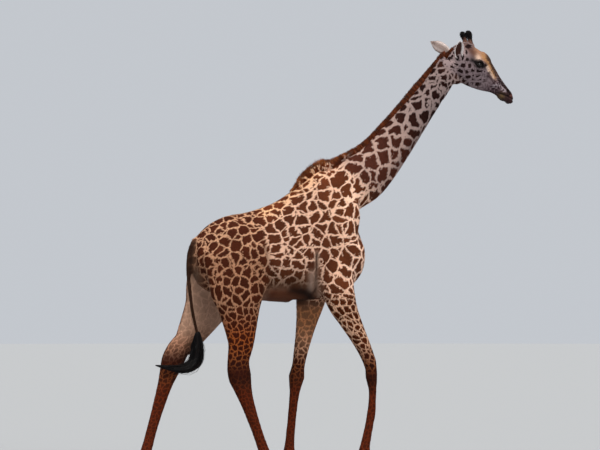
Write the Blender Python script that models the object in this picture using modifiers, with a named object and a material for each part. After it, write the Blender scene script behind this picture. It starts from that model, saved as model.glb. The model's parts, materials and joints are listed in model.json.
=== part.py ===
"""Adult female Masai giraffe, walking, life size.

Metres, +X is the way the animal walks, +Y its left side, +Z up. The hoof soles stand on z = 0, and the
origin lies on the floor under the middle of the whole figure. The flesh is lofted from sections at
named places of the body, merged into one smooth form, and parted by thin cuts into the pieces that
a person would name.
"""

import math
from collections import namedtuple

import bmesh
import bpy
from mathutils import Matrix, Vector

# ---------------------------------------------------------------------------------------------------
# Driving dimensions
# ---------------------------------------------------------------------------------------------------

GAP = 0.0004                 # open space left by each thin cut between two pieces
BODY_GRAIN = 0.014           # grid on which the trunk, neck and legs are merged
HEAD_GRAIN = 0.006           # finer grid for the head
BODY_EASE = 6                # rounds of smoothing after each merge
HEAD_EASE = 8
RING_POINTS = 28             # points round each lofted section
RINGS_PER_SECTION = 4        # rings from one named section to the next
TUBE_STEPS = 3               # points from one named point of a route to the next
SLOPE_REACH = 0.04           # how far on, in joints, a limb's direction is read

RIGHT, LEFT = -1, 1          # the sign of y on each side
SIDES = {"right": RIGHT, "left": LEFT}

# Trunk: upright sections, from the tail head to the breast.
TrunkSection = namedtuple("TrunkSection", "x top bottom half_width widest")
TRUNK = (
    TrunkSection(-0.925, 1.985, 1.760, 0.055, 1.88),     # tail head
    TrunkSection(-0.880, 2.050, 1.650, 0.130, 1.86),     # pin bones
    TrunkSection(-0.780, 2.140, 1.580, 0.195, 1.87),
    TrunkSection(-0.640, 2.205, 1.545, 0.235, 1.86),     # croup and hips
    TrunkSection(-0.450, 2.240, 1.520, 0.262, 1.84),     # loin and flank
    TrunkSection(-0.220, 2.320, 1.500, 0.292, 1.82),     # barrel of the ribs
    TrunkSection(0.000, 2.465, 1.495, 0.290, 1.84),
    TrunkSection(0.160, 2.585, 1.510, 0.262, 1.88),      # withers
    TrunkSection(0.310, 2.540, 1.545, 0.235, 1.90),
    TrunkSection(0.420, 2.300, 1.610, 0.205, 1.88),      # breast
    TrunkSection(0.500, 2.080, 1.690, 0.155, 1.87),
    TrunkSection(0.545, 1.980, 1.770, 0.085, 1.87),
)
TRUNK_TOP_ROUNDNESS = 1.75
TRUNK_BELLY_ROUNDNESS = 2.15

# Neck: a straight axis that rises from the breast; sections square to it.
NECK_ROOT = Vector((0.45, 0.0, 2.45))
NECK_RISE = math.radians(50.0)
NeckSection = namedtuple("NeckSection", "along crest throat half_width")
NECK = (
    NeckSection(-0.260, 0.240, -0.120, 0.190),
    NeckSection(-0.100, 0.250, -0.180, 0.172),           # base, between the shoulders
    NeckSection(0.080, 0.212, -0.240, 0.146),
    NeckSection(0.280, 0.137, -0.247, 0.122),
    NeckSection(0.500, 0.116, -0.230, 0.107),
    NeckSection(0.720, 0.098, -0.205, 0.096),
    NeckSection(0.940, 0.083, -0.178, 0.086),
    NeckSection(1.140, 0.082, -0.159, 0.080),            # throat latch
    NeckSection(1.260, 0.090, -0.140, 0.078),
    NeckSection(1.360, 0.090, -0.100, 0.066),            # nape, inside the back of the skull
)
NECK_ROUNDNESS = 1.95

# Head: sections square to its long axis, which points down and forward from the poll.
POLL = Vector((1.431, 0.0, 3.584))
HEAD_PITCH = math.radians(34.5)
HeadSection = namedtuple("HeadSection", "along top bottom half_width widest")
HEAD = (
    HeadSection(-0.075, 0.020, -0.130, 0.055, -0.04),
    HeadSection(-0.030, 0.062, -0.180, 0.078, -0.03),    # occiput
    HeadSection(0.040, 0.096, -0.208, 0.090, -0.02),
    HeadSection(0.110, 0.104, -0.220, 0.097, 0.00),
    HeadSection(0.175, 0.106, -0.212, 0.099, 0.01),      # eyes
    HeadSection(0.230, 0.100, -0.198, 0.086, 0.01),
    HeadSection(0.285, 0.080, -0.182, 0.070, -0.01),
    HeadSection(0.345, 0.058, -0.158, 0.058, -0.04),
    HeadSection(0.410, 0.031, -0.128, 0.050, -0.05),     # bridge of the nose
    HeadSection(0.480, 0.008, -0.116, 0.047, -0.05),
    HeadSection(0.545, -0.012, -0.110, 0.047, -0.06),    # nostrils and mouth
    HeadSection(0.588, -0.036, -0.105, 0.040, -0.07),
    HeadSection(0.612, -0.060, -0.094, 0.022, -0.080),   # upper lip
)
HEAD_TOP_ROUNDNESS = 2.2
HEAD_JAW_ROUNDNESS = 1.75

# Swellings of bone and muscle: centre, radii and pitch, in the frame of the head or of the body.
Swelling = namedtuple("Swelling", "x y z long wide high pitch")
HEAD_SWELLINGS = (
    Swelling(0.160, 0.080, 0.004, 0.056, 0.030, 0.040, 0),       # brow over the eye
    Swelling(0.100, 0.055, -0.105, 0.085, 0.038, 0.092, -20),    # cheek muscle
    Swelling(0.020, 0.046, 0.076, 0.048, 0.032, 0.040, 0),       # foot of the ossicone
    Swelling(-0.005, 0.074, -0.060, 0.036, 0.028, 0.040, 0),     # foot of the ear
    Swelling(0.068, 0.010, -0.215, 0.080, 0.040, 0.052, 0),      # throat behind the jaw
    Swelling(0.205, 0.012, 0.086, 0.070, 0.030, 0.032, 12),      # boss of the forehead
    Swelling(0.550, 0.028, -0.046, 0.036, 0.023, 0.026, 20),     # wing of the nostril
    Swelling(0.580, 0.018, -0.080, 0.038, 0.034, 0.030, 35),     # overhanging upper lip
    Swelling(0.520, 0.012, -0.104, 0.046, 0.032, 0.020, 0),      # chin and lower lip
)
BODY_SWELLINGS = (
    Swelling(0.300, 0.163, 2.060, 0.150, 0.078, 0.330, 18),      # shoulder blade
    Swelling(0.395, 0.150, 1.900, 0.125, 0.100, 0.150, 0),       # point of the shoulder
    Swelling(0.235, 0.205, 1.720, 0.155, 0.070, 0.170, 0),       # muscle behind the upper arm
    Swelling(-0.600, 0.135, 2.040, 0.150, 0.088, 0.095, -15),    # hip bone
    Swelling(-0.840, 0.090, 1.860, 0.085, 0.070, 0.160, 0),      # buttock
)

# Limbs. Joints are centres of the limb in (x, |y|, z); the first one lies inside the trunk.
FORE_JOINTS = {
    "right": ((0.245, 0.190, 1.800), (0.290, 0.200, 1.500), (0.580, 0.170, 0.890),
              (0.505, 0.155, 0.255), (0.535, 0.152, 0.085)),
    "left": ((0.200, 0.190, 1.800), (0.165, 0.200, 1.500), (0.034, 0.170, 0.885),
             (-0.038, 0.155, 0.255), (-0.014, 0.152, 0.085)),
}
HIND_JOINTS = {
    "right": ((-0.650, 0.150, 1.920), (-0.610, 0.195, 1.600), (-0.575, 0.190, 1.200),
              (-0.584, 0.180, 0.905), (-0.355, 0.155, 0.255), (-0.325, 0.152, 0.085)),
    "left": ((-0.670, 0.150, 1.920), (-0.690, 0.195, 1.580), (-0.890, 0.200, 1.210),
             (-1.030, 0.190, 1.025), (-1.276, 0.160, 0.255), (-1.250, 0.155, 0.085)),
}

KNEE, HOCK = 2, 3            # their places in the lists of joints

# Sizes along a limb: where it is (joint number and fraction to the next), half depth, half width.
LimbSection = namedtuple("LimbSection", "place half_depth half_width")
FORE_LIMB = (
    LimbSection(0.00, 0.150, 0.070),
    LimbSection(0.60, 0.150, 0.082),
    LimbSection(1.00, 0.128, 0.084),     # elbow
    LimbSection(1.30, 0.094, 0.070),
    LimbSection(1.60, 0.069, 0.057),
    LimbSection(1.86, 0.058, 0.051),
    LimbSection(2.00, 0.071, 0.058),     # knee
    LimbSection(2.10, 0.058, 0.052),
    LimbSection(2.24, 0.044, 0.040),
    LimbSection(2.60, 0.040, 0.035),     # cannon
    LimbSection(2.88, 0.046, 0.041),
    LimbSection(3.00, 0.056, 0.050),     # fetlock
    LimbSection(3.50, 0.048, 0.049),     # pastern
    LimbSection(4.00, 0.066, 0.062),     # coronet
)
HIND_LIMB = (
    LimbSection(0.00, 0.240, 0.080),
    LimbSection(1.00, 0.238, 0.098),     # thigh and stifle
    LimbSection(1.45, 0.175, 0.088),
    LimbSection(2.00, 0.120, 0.070),     # gaskin
    LimbSection(2.60, 0.097, 0.056),
    LimbSection(3.00, 0.102, 0.060),     # hock
    LimbSection(3.16, 0.084, 0.053),
    LimbSection(3.34, 0.062, 0.043),
    LimbSection(3.65, 0.048, 0.037),     # cannon
    LimbSection(3.90, 0.049, 0.041),
    LimbSection(4.00, 0.056, 0.050),     # fetlock
    LimbSection(4.50, 0.048, 0.049),     # pastern
    LimbSection(5.00, 0.066, 0.062),     # coronet
)
LIMB_ROUNDNESS = 2.1
HOCK_POINT_SIZE = (0.040, 0.030, 0.076)
HOCK_POINT_BACK = 0.062

# Hooves: two toes to a foot, each flat below.
HOOF_HEIGHT = 0.082
TOE_LENGTH = 0.190
TOE_WIDTH = 0.068
TOE_SPREAD = 0.0365          # from the foot's middle to each toe's middle
TOE_TOP_SCALE = 0.74
TOE_SLOPE = 0.030            # how far the top of the hoof leans back
TOE_AHEAD = 0.035            # the hoof stands a little ahead of the coronet above it
TOE_SIDES = 14

# Ears, eyes and ossicones, in the frame of the head: along, across, above its axis.
EAR_LENGTH = 0.190
EAR_HALF_WIDTH = 0.044
EAR_CUP = 0.030
EAR_WALL = 0.008
EAR_EDGE = 0.003             # thickness left at the tip
EAR_STEPS = 7                # sections along the ear, and points across each
EarPose = namedtuple("EarPose", "root tip_way opening")
EAR_POSES = {                # root in the frame of the head; directions in the frame of the body
    "right": EarPose((-0.012, -0.088, -0.074), Vector((-0.25, -0.68, 0.69)), Vector((0.25, -0.75, -0.45))),
    "left": EarPose((-0.055, 0.080, -0.044), Vector((-0.84, 0.22, 0.50)), Vector((0.36, 0.90, -0.22))),
}
EYE_RADIUS = 0.030
EYE_PLACE = (0.163, 0.084, -0.022)
OSSICONE_FOOT = (0.030, 0.047, 0.085)
OSSICONE_TIP = (-0.068, 0.064, 0.166)
OSSICONE_RADII = (0.024, 0.019, 0.019, 0.024, 0.026, 0.013)

# Tail: a thin tail and a long tassel that swings back at its end.
TAIL_ROUTE = ((-0.880, 0.0, 2.000), (-0.935, 0.0, 1.900), (-0.960, 0.0, 1.740),
              (-0.945, 0.0, 1.560), (-0.915, 0.02, 1.400), (-0.870, 0.04, 1.240))
TAIL_RADII = (0.050, 0.038, 0.023, 0.017, 0.015, 0.014)
TASSEL_ROUTE = ((-0.869, 0.04, 1.235), (-0.868, 0.05, 1.120), (-0.890, 0.05, 1.015),
                (-0.990, 0.04, 0.960), (-1.120, 0.03, 0.970), (-1.235, 0.03, 0.990))
TASSEL_RADII = (0.022, 0.050, 0.054, 0.041, 0.026, 0.008)

# Mane: an upright brush along the crest, from the poll to behind the withers.
MANE_HALF_WIDTH = 0.021
MANE_TIP_HALF_WIDTH = 0.007
MANE_ROOT_DEPTH = 0.050      # how far the strip starts under the skin before it is cut to it
ManeSection = namedtuple("ManeSection", "x skin height")
MANE = (
    ManeSection(1.375, 3.625, 0.016),
    ManeSection(1.290, 3.565, 0.030),
    ManeSection(1.140, 3.415, 0.034),
    ManeSection(0.950, 3.190, 0.034),
    ManeSection(0.780, 3.000, 0.038),
    ManeSection(0.600, 2.815, 0.046),
    ManeSection(0.430, 2.700, 0.054),
    ManeSection(0.270, 2.640, 0.071),
    ManeSection(0.120, 2.560, 0.084),
    ManeSection(0.010, 2.470, 0.082),
    ManeSection(-0.060, 2.415, 0.050),
)

# Thin cuts: convex blocks that part the merged flesh, by centre, size and pitch.
NECK_CUT_ALONG = 0.060
HEAD_CUT_ALONG = 1.200
REACH = 3.0                  # a size larger than the whole animal
LegCut = namedtuple("LegCut", "x z pitch before behind")
FORE_CUT = LegCut(0.200, 1.520, 0, 0.40, 0.30)       # level, under the armpit
HIND_CUT = LegCut(-0.340, 1.530, 24, REACH, REACH)   # from the flank up to the seat

BODY_TRIANGLES = 4500        # facets of the merged trunk, neck and legs
HEAD_TRIANGLES = 1400        # facets of the merged head with the top of the neck

SHARP_ANGLE = math.radians(40)

# Finishes: base colour, roughness.
Finish = namedtuple("Finish", "colour roughness")
COAT = Finish((0.33, 0.15, 0.07), 0.75)
COAT_PALE = Finish((0.62, 0.42, 0.27), 0.75)
COAT_RED = Finish((0.36, 0.13, 0.06), 0.75)
MANE_HAIR = Finish((0.22, 0.07, 0.03), 0.80)
BLACK_HAIR = Finish((0.015, 0.012, 0.012), 0.70)
HORN = Finish((0.10, 0.07, 0.05), 0.45)
EYE_GLOSS = Finish((0.015, 0.010, 0.008), 0.08)


# ---------------------------------------------------------------------------------------------------
# Frames and smooth paths
# ---------------------------------------------------------------------------------------------------

def neck_frame():
    """Axes of the neck: along it, up towards the crest."""
    along = Vector((math.cos(NECK_RISE), 0.0, math.sin(NECK_RISE)))
    crest = Vector((-math.sin(NECK_RISE), 0.0, math.cos(NECK_RISE)))
    return along, crest


def head_matrix():
    """Turns the frame of the head into the frame of the body."""
    return Matrix.Translation(POLL) @ Matrix.Rotation(HEAD_PITCH, 4, "Y")


def head_point(along, across, above):
    return head_matrix() @ Vector((along, across, above))


def smooth_value(values, place):
    """A value read from a Catmull-Rom curve through a list, at a fractional place in the list."""
    last = len(values) - 1
    start = min(int(place), last - 1)
    part = place - start
    before = values[max(start - 1, 0)]
    here = values[start]
    there = values[start + 1]
    after = values[min(start + 2, last)]
    return 0.5 * (
        here * 2
        + (there - before) * part
        + (before * 2 - here * 5 + there * 4 - after) * part ** 2
        + (here * 3 - before - there * 3 + after) * part ** 3
    )


def path_point(points, place):
    return smooth_value([Vector(point) for point in points], place)


# ---------------------------------------------------------------------------------------------------
# Making meshes
# ---------------------------------------------------------------------------------------------------

def new_object(name, mesh_data, collection):
    made = bpy.data.objects.new(name, mesh_data)
    collection.objects.link(made)
    return made


def object_from_bmesh(name, shape, collection):
    mesh_data = bpy.data.meshes.new(name)
    bmesh.ops.recalc_face_normals(shape, faces=shape.faces)
    shape.to_mesh(mesh_data)
    shape.free()
    return new_object(name, mesh_data, collection)


def section_ring(centre, side, up, half_width, rise, drop, top_roundness, low_roundness):
    """Points of one section: a superellipse whose upper and lower halves differ."""
    points = []
    for step in range(RING_POINTS):
        turn = math.tau * step / RING_POINTS
        sideways, upward = math.cos(turn), math.sin(turn)
        reach, roundness = (rise, top_roundness) if upward > 0 else (drop, low_roundness)
        across = math.copysign(abs(sideways) ** (2 / roundness), sideways) * half_width
        above = math.copysign(abs(upward) ** (2 / roundness), upward) * reach
        points.append(centre + side * across + up * above)
    return points


def loft(shape, rings):
    """Skins a run of like rings and closes both ends."""
    layers = [[shape.verts.new(point) for point in ring] for ring in rings]
    for lower, upper in zip(layers, layers[1:]):
        for step in range(len(lower)):
            following = (step + 1) % len(lower)
            shape.faces.new((lower[step], lower[following], upper[following], upper[step]))
    shape.faces.new(layers[0][::-1])
    shape.faces.new(layers[-1])


def add_swelling(shape, swelling, side, frame):
    """One ellipsoid of bone or muscle, placed in the given frame."""
    place = Matrix.Translation((swelling.x, swelling.y * side, swelling.z))
    turn = Matrix.Rotation(math.radians(swelling.pitch), 4, "Y")
    size = Matrix.Diagonal((swelling.long, swelling.wide, swelling.high, 1.0))
    bmesh.ops.create_uvsphere(shape, u_segments=24, v_segments=16, radius=1.0,
                              matrix=frame @ place @ turn @ size)


# ---------------------------------------------------------------------------------------------------
# Flesh
# ---------------------------------------------------------------------------------------------------

def add_trunk(shape):
    rings = []
    for step in range(RINGS_PER_SECTION * (len(TRUNK) - 1) + 1):
        place = step / RINGS_PER_SECTION
        x, top, bottom, half_width, widest = (
            smooth_value([section[field] for section in TRUNK], place) for field in range(5)
        )
        rings.append(section_ring(
            Vector((x, 0.0, widest)), Vector((0, 1, 0)), Vector((0, 0, 1)),
            half_width, top - widest, widest - bottom, TRUNK_TOP_ROUNDNESS, TRUNK_BELLY_ROUNDNESS,
        ))
    loft(shape, rings)


def add_neck(shape):
    along_axis, crest_axis = neck_frame()
    rings = []
    for step in range(RINGS_PER_SECTION * (len(NECK) - 1) + 1):
        place = step / RINGS_PER_SECTION
        along, crest, throat, half_width = (
            smooth_value([section[field] for section in NECK], place) for field in range(4)
        )
        middle = (crest + throat) / 2
        rings.append(section_ring(
            NECK_ROOT + along_axis * along + crest_axis * middle, Vector((0, 1, 0)), crest_axis,
            half_width, crest - middle, middle - throat, NECK_ROUNDNESS, NECK_ROUNDNESS,
        ))
    loft(shape, rings)


def add_head(shape):
    to_body = head_matrix()
    rings = []
    for step in range(RINGS_PER_SECTION * (len(HEAD) - 1) + 1):
        place = step / RINGS_PER_SECTION
        along, top, bottom, half_width, widest = (
            smooth_value([section[field] for section in HEAD], place) for field in range(5)
        )
        ring = section_ring(
            Vector((along, 0.0, widest)), Vector((0, 1, 0)), Vector((0, 0, 1)),
            half_width, top - widest, widest - bottom, HEAD_TOP_ROUNDNESS, HEAD_JAW_ROUNDNESS,
        )
        rings.append([to_body @ point for point in ring])
    loft(shape, rings)
    for swelling in HEAD_SWELLINGS:
        for side in SIDES.values():
            add_swelling(shape, swelling, side, to_body)


def limb_points(joints, side):
    return [Vector((x, y * side, z)) for x, y, z in joints]


def add_limb(shape, joints, sections):
    """A leg, lofted square to the smooth path through its joints."""
    rings = []
    places = [section.place for section in sections]
    for step in range(RINGS_PER_SECTION * (len(sections) - 1) + 1):
        rank = step / RINGS_PER_SECTION
        place = min(smooth_value(places, rank), len(joints) - 1)
        ahead = path_point(joints, min(place + SLOPE_REACH, len(joints) - 1))
        behind = path_point(joints, max(place - SLOPE_REACH, 0))
        down = (ahead - behind).normalized()
        side = Vector((0, 1, 0))
        front = side.cross(down).normalized()
        half_depth = smooth_value([section.half_depth for section in sections], rank)
        half_width = smooth_value([section.half_width for section in sections], rank)
        rings.append(section_ring(path_point(joints, place), down.cross(front), front,
                                  half_width, half_depth, half_depth,
                                  LIMB_ROUNDNESS, LIMB_ROUNDNESS))
    loft(shape, rings)


def add_hock_point(shape, joints):
    """The heel bone, which stands out behind the hock."""
    hock, fetlock = joints[HOCK], joints[HOCK + 1]
    shank = (fetlock - hock).normalized()
    back = shank.cross(Vector((0, 1, 0))).normalized()
    centre = hock + back * HOCK_POINT_BACK - shank * HOCK_POINT_SIZE[0]
    reach = Matrix.Diagonal((*HOCK_POINT_SIZE, 1.0))
    lean = Vector((0, 0, -1)).rotation_difference(shank).to_matrix().to_4x4()
    bmesh.ops.create_uvsphere(shape, u_segments=20, v_segments=12, radius=1.0,
                              matrix=Matrix.Translation(centre) @ lean @ reach)


def merged(name, shape, grain, smoothing, collection):
    """Melts overlapping forms into one skin on a grid, and eases the joins."""
    rough = object_from_bmesh(name, shape, collection)
    remesh = rough.modifiers.new("merge", "REMESH")
    remesh.mode = "VOXEL"
    remesh.voxel_size = grain
    ease = rough.modifiers.new("ease", "SMOOTH")
    ease.factor = 0.5
    ease.iterations = smoothing
    return baked(rough, collection)


def baked(made, collection):
    """The given object as a plain mesh, with its modifiers carried out."""
    evaluated = made.evaluated_get(bpy.context.evaluated_depsgraph_get())
    mesh_data = bpy.data.meshes.new_from_object(evaluated)
    name = made.name
    bpy.data.objects.remove(made)
    shape = bmesh.new()
    shape.from_mesh(mesh_data)
    keep_largest_shell(shape)
    return object_from_bmesh(name, shape, collection)


def keep_largest_shell(shape):
    """Drops the walls of any hidden hollow, which are separate from the outer skin."""
    left = set(shape.verts)
    shells = []
    while left:
        shell, edge = set(), [left.pop()]
        while edge:
            vertex = edge.pop()
            shell.add(vertex)
            for link in vertex.link_edges:
                other = link.other_vert(vertex)
                if other in left:
                    left.remove(other)
                    edge.append(other)
        shells.append(shell)
    shells.sort(key=len)
    for shell in shells[:-1]:
        bmesh.ops.delete(shape, geom=list(shell), context="VERTS")


def body_flesh(collection):
    shape = bmesh.new()
    add_trunk(shape)
    add_neck(shape)
    for swelling in BODY_SWELLINGS:
        for side in SIDES.values():
            add_swelling(shape, swelling, side, Matrix.Identity(4))
    for side_name, side in SIDES.items():
        add_limb(shape, limb_points(FORE_JOINTS[side_name], side), FORE_LIMB)
        hind = limb_points(HIND_JOINTS[side_name], side)
        add_limb(shape, hind, HIND_LIMB)
        add_hock_point(shape, hind)
    flesh = merged("body_flesh", shape, BODY_GRAIN, BODY_EASE, collection)
    return simplified(flesh, BODY_TRIANGLES, collection)


def head_flesh(collection):
    shape = bmesh.new()
    add_neck(shape)
    add_head(shape)
    flesh = merged("head_flesh", shape, HEAD_GRAIN, HEAD_EASE, collection)
    return simplified(flesh, HEAD_TRIANGLES, collection)


# ---------------------------------------------------------------------------------------------------
# Cutting
# ---------------------------------------------------------------------------------------------------

def as_cutter(made):
    """Keeps a working shape out of the build."""
    made.hide_render = True
    made.display_type = "WIRE"
    return made


def block(name, low, high, collection, turn=Matrix.Identity(4)):
    """A box cutter between two corners, carried by a turn and shift."""
    low, high = Vector(low), Vector(high)
    shape = bmesh.new()
    bmesh.ops.create_cube(shape, size=1.0)
    size = high - low
    place = turn @ Matrix.Translation((low + high) / 2) @ Matrix.Diagonal((*size, 1.0))
    bmesh.ops.transform(shape, matrix=place, verts=shape.verts)
    return as_cutter(object_from_bmesh(name, shape, collection))


def grown_block(name, low, high, collection, turn=Matrix.Identity(4)):
    """The same box, larger by the gap on every side, to cut away the neighbour."""
    grow = Vector((GAP, GAP, GAP))
    return block(name, Vector(low) - grow, Vector(high) + grow, collection, turn)


def combine(made, cutter, operation, collection):
    cut = made.modifiers.new(operation.lower(), "BOOLEAN")
    cut.operation = operation
    cut.object = cutter
    cut.solver = "EXACT"
    return baked(made, collection)


def copied(made, name, collection):
    return new_object(name, made.data.copy(), collection)


def finished(made, name, work, parts):
    """Names what is left after a cut, and puts it with the finished parts."""
    work.objects.unlink(made)
    parts.objects.link(made)
    made.name = name
    return made


def simplified(made, triangles, collection):
    """Fewer, larger facets on the same form."""
    made.modifiers.new("triangulate", "TRIANGULATE")
    current = sum(len(face.vertices) - 2 for face in made.data.polygons)
    fewer = made.modifiers.new("simplify", "DECIMATE")
    fewer.ratio = min(1.0, triangles / current)
    return baked(made, collection)


def part_with(made, name, low, high, turn, work, parts):
    """Parts a block-shaped region from the body: returns the piece, and the body without it."""
    inner = block(name + "_cutter", low, high, work, turn)
    piece = combine(copied(made, name, parts), inner, "INTERSECT", parts)
    outer = grown_block(name + "_clear", low, high, work, turn)
    rest = combine(made, outer, "DIFFERENCE", work)
    return piece, rest


# ---------------------------------------------------------------------------------------------------
# Small pieces
# ---------------------------------------------------------------------------------------------------

def make_toe(name, centre_x, centre_y, collection):
    """One claw of a cloven hoof: flat sole, rounded tip, wall leaning back to the coronet."""
    shape = bmesh.new()
    bmesh.ops.create_cone(shape, cap_ends=True, segments=TOE_SIDES, radius1=1.0,
                          radius2=TOE_TOP_SCALE, depth=1.0)
    for vertex in shape.verts:
        rise = vertex.co.z + 0.5
        tip = max(vertex.co.x, 0.0) ** 2
        vertex.co.x = vertex.co.x * TOE_LENGTH / 2 - rise * TOE_SLOPE
        vertex.co.y = vertex.co.y * TOE_WIDTH / 2 * (1.0 - 0.25 * tip)
        vertex.co.z = rise * HOOF_HEIGHT
    bmesh.ops.translate(shape, verts=shape.verts, vec=(centre_x, centre_y, 0.0))
    return object_from_bmesh(name, shape, collection)


def make_ear(name, side_name, collection):
    """A leaf-shaped, cupped ear: crescent sections along its length, closed to a point."""
    pose = EAR_POSES[side_name]
    tip_way = pose.tip_way.normalized()
    opening = (pose.opening - tip_way * pose.opening.dot(tip_way)).normalized()
    across = tip_way.cross(opening)
    root = head_point(*pose.root)
    shape = bmesh.new()
    rings = []
    for step in range(EAR_STEPS + 1):
        part = step / EAR_STEPS
        leaf = (0.50 + 0.62 * math.sin(math.pi * part ** 0.9)) * (1 - part ** 7)
        spread = EAR_HALF_WIDTH * leaf + EAR_EDGE
        cup = EAR_CUP * math.sqrt(1 - part) + EAR_EDGE
        wall = EAR_WALL * (1 - part / 2)
        centre = root + tip_way * (EAR_LENGTH * part)
        outer, inner = [], []
        for point in range(EAR_STEPS + 1):
            turn = math.pi * point / EAR_STEPS
            sideways, depth = across * math.cos(turn), math.sin(turn) * cup
            outer.append(centre + sideways * spread - opening * depth)
            inner.append(centre + sideways * (spread - wall / 2) - opening * (depth - wall))
        rings.append(outer + inner[::-1])
    loft(shape, rings)
    return object_from_bmesh(name, shape, collection)


def make_eye(name, side, radius, collection):
    shape = bmesh.new()
    along, across, above = EYE_PLACE
    place = Matrix.Translation(head_point(along, across * side, above))
    bmesh.ops.create_icosphere(shape, subdivisions=2, radius=radius, matrix=place)
    return object_from_bmesh(name, shape, collection)


def tube_through(name, route, radii, collection):
    """A soft tube with rounded ends along a smooth route."""
    curve_data = bpy.data.curves.new(name, "CURVE")
    curve_data.dimensions = "3D"
    curve_data.bevel_depth = 1.0
    curve_data.bevel_resolution = 2
    curve_data.use_fill_caps = True
    spline = curve_data.splines.new("POLY")
    spline.points.add(TUBE_STEPS * (len(route) - 1))
    for step, point in enumerate(spline.points):
        place = step / TUBE_STEPS
        point.co = (*path_point(route, place), 1.0)
        point.radius = smooth_value(radii, place)
    curve = new_object(name + "_route", curve_data, collection)
    evaluated = curve.evaluated_get(bpy.context.evaluated_depsgraph_get())
    mesh_data = bpy.data.meshes.new_from_object(evaluated)
    shape = bmesh.new()
    shape.from_mesh(mesh_data)
    bmesh.ops.remove_doubles(shape, verts=shape.verts, dist=0.00005)
    bpy.data.objects.remove(curve)
    return object_from_bmesh(name, shape, collection)


def make_ossicone(name, side, collection):
    """A skin-covered horn with a rounded, tufted knob."""
    foot = head_point(OSSICONE_FOOT[0], OSSICONE_FOOT[1] * side, OSSICONE_FOOT[2])
    tip = head_point(OSSICONE_TIP[0], OSSICONE_TIP[1] * side, OSSICONE_TIP[2])
    count = len(OSSICONE_RADII) - 1
    route = [foot.lerp(tip, step / count) for step in range(count + 1)]
    return tube_through(name, route, OSSICONE_RADII, collection)


def make_mane(name, collection):
    """A tall thin strip that follows the crest; its foot starts inside the neck."""
    shape = bmesh.new()
    rings = []
    points = [Vector((section.x, 0.0, section.skin)) for section in MANE]
    heights = [section.height for section in MANE]
    foot, tip = Vector((0.0, MANE_HALF_WIDTH, 0.0)), Vector((0.0, MANE_TIP_HALF_WIDTH, 0.0))
    for step in range(TUBE_STEPS * (len(MANE) - 1) + 1):
        place = step / TUBE_STEPS
        base = smooth_value(points, place)
        ahead = smooth_value(points, min(place + SLOPE_REACH, len(MANE) - 1))
        behind = smooth_value(points, max(place - SLOPE_REACH, 0))
        run = (behind - ahead).normalized()
        rise = Vector((-run.z, 0.0, run.x))
        low = base - rise * MANE_ROOT_DEPTH
        top = base + rise * smooth_value(heights, place)
        rings.append([low - foot, low + foot, base + foot, top + tip, top - tip, base - foot])
    loft(shape, rings)
    return object_from_bmesh(name, shape, collection)


def swollen_copy(made, name, amount, collection):
    """A copy of a piece with its skin moved out a little, to cut away what touches it."""
    cutter = copied(made, name, collection)
    outward = cutter.modifiers.new("outward", "DISPLACE")
    outward.strength = amount
    outward.mid_level = 0.0
    return as_cutter(baked(cutter, collection))


# ---------------------------------------------------------------------------------------------------
# Materials
# ---------------------------------------------------------------------------------------------------

def give_finish(made, finish):
    material = bpy.data.materials.new(made.name)
    material.use_nodes = True
    surface = material.node_tree.nodes["Principled BSDF"]
    surface.inputs["Base Color"].default_value = (*finish.colour, 1.0)
    surface.inputs["Roughness"].default_value = finish.roughness
    surface.inputs["Metallic"].default_value = 0.0
    made.data.materials.clear()
    made.data.materials.append(material)
    made.data.shade_smooth()
    made.data.set_sharp_from_angle(angle=SHARP_ANGLE)


# ---------------------------------------------------------------------------------------------------
# The whole animal
# ---------------------------------------------------------------------------------------------------

def make_legs(flesh, work, parts):
    """Parts each leg from the trunk, and parts it again at the knee or hock and at the hoof."""
    made = {}
    for side_name, side in SIDES.items():
        near, far = sorted((GAP * side, REACH * side))
        for limb, joints, cut, bend in (
            ("fore", FORE_JOINTS[side_name], FORE_CUT, KNEE),
            ("hind", HIND_JOINTS[side_name], HIND_CUT, HOCK),
        ):
            name = f"{limb}leg_{side_name}"
            bend_height = joints[bend][2]
            turn = Matrix.Translation((cut.x, 0.0, cut.z)) @ Matrix.Rotation(
                math.radians(cut.pitch), 4, "Y")
            leg, flesh = part_with(flesh, name, (-cut.behind, near, -REACH), (cut.before, far, 0.0),
                                   turn, work, parts)
            turn = Matrix.Identity(4)
            hoof_clear = block(name + "_hoof_clear", (-REACH, -REACH, -REACH),
                               (REACH, REACH, HOOF_HEIGHT + GAP), work)
            leg = combine(leg, hoof_clear, "DIFFERENCE", parts)
            upper, lower = part_with(leg, name + "_upper", (-REACH, -REACH, bend_height),
                                     (REACH, REACH, REACH), turn, work, parts)
            made[upper.name] = upper
            made[name + "_lower"] = finished(lower, name + "_lower", work, parts)
            foot = joints[-1]
            for toe_name, toe_side in (("inner", -1), ("outer", 1)):
                hoof_name = f"hoof_{limb}_{side_name}_{toe_name}"
                centre_y = side * (foot[1] + toe_side * TOE_SPREAD)
                made[hoof_name] = make_toe(hoof_name, foot[0] + TOE_AHEAD, centre_y, parts)
    return made, flesh


def centre_on_floor(made):
    """Shifts everything so that the origin lies under the middle of the whole figure."""
    corners = [vertex.co for piece in made.values() for vertex in piece.data.vertices]
    low = Vector((min(point[axis] for point in corners) for axis in range(3)))
    high = Vector((max(point[axis] for point in corners) for axis in range(3)))
    shift = Vector((-(low.x + high.x) / 2, -(low.y + high.y) / 2, -low.z))
    for piece in made.values():
        piece.data.transform(Matrix.Translation(shift))


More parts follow.
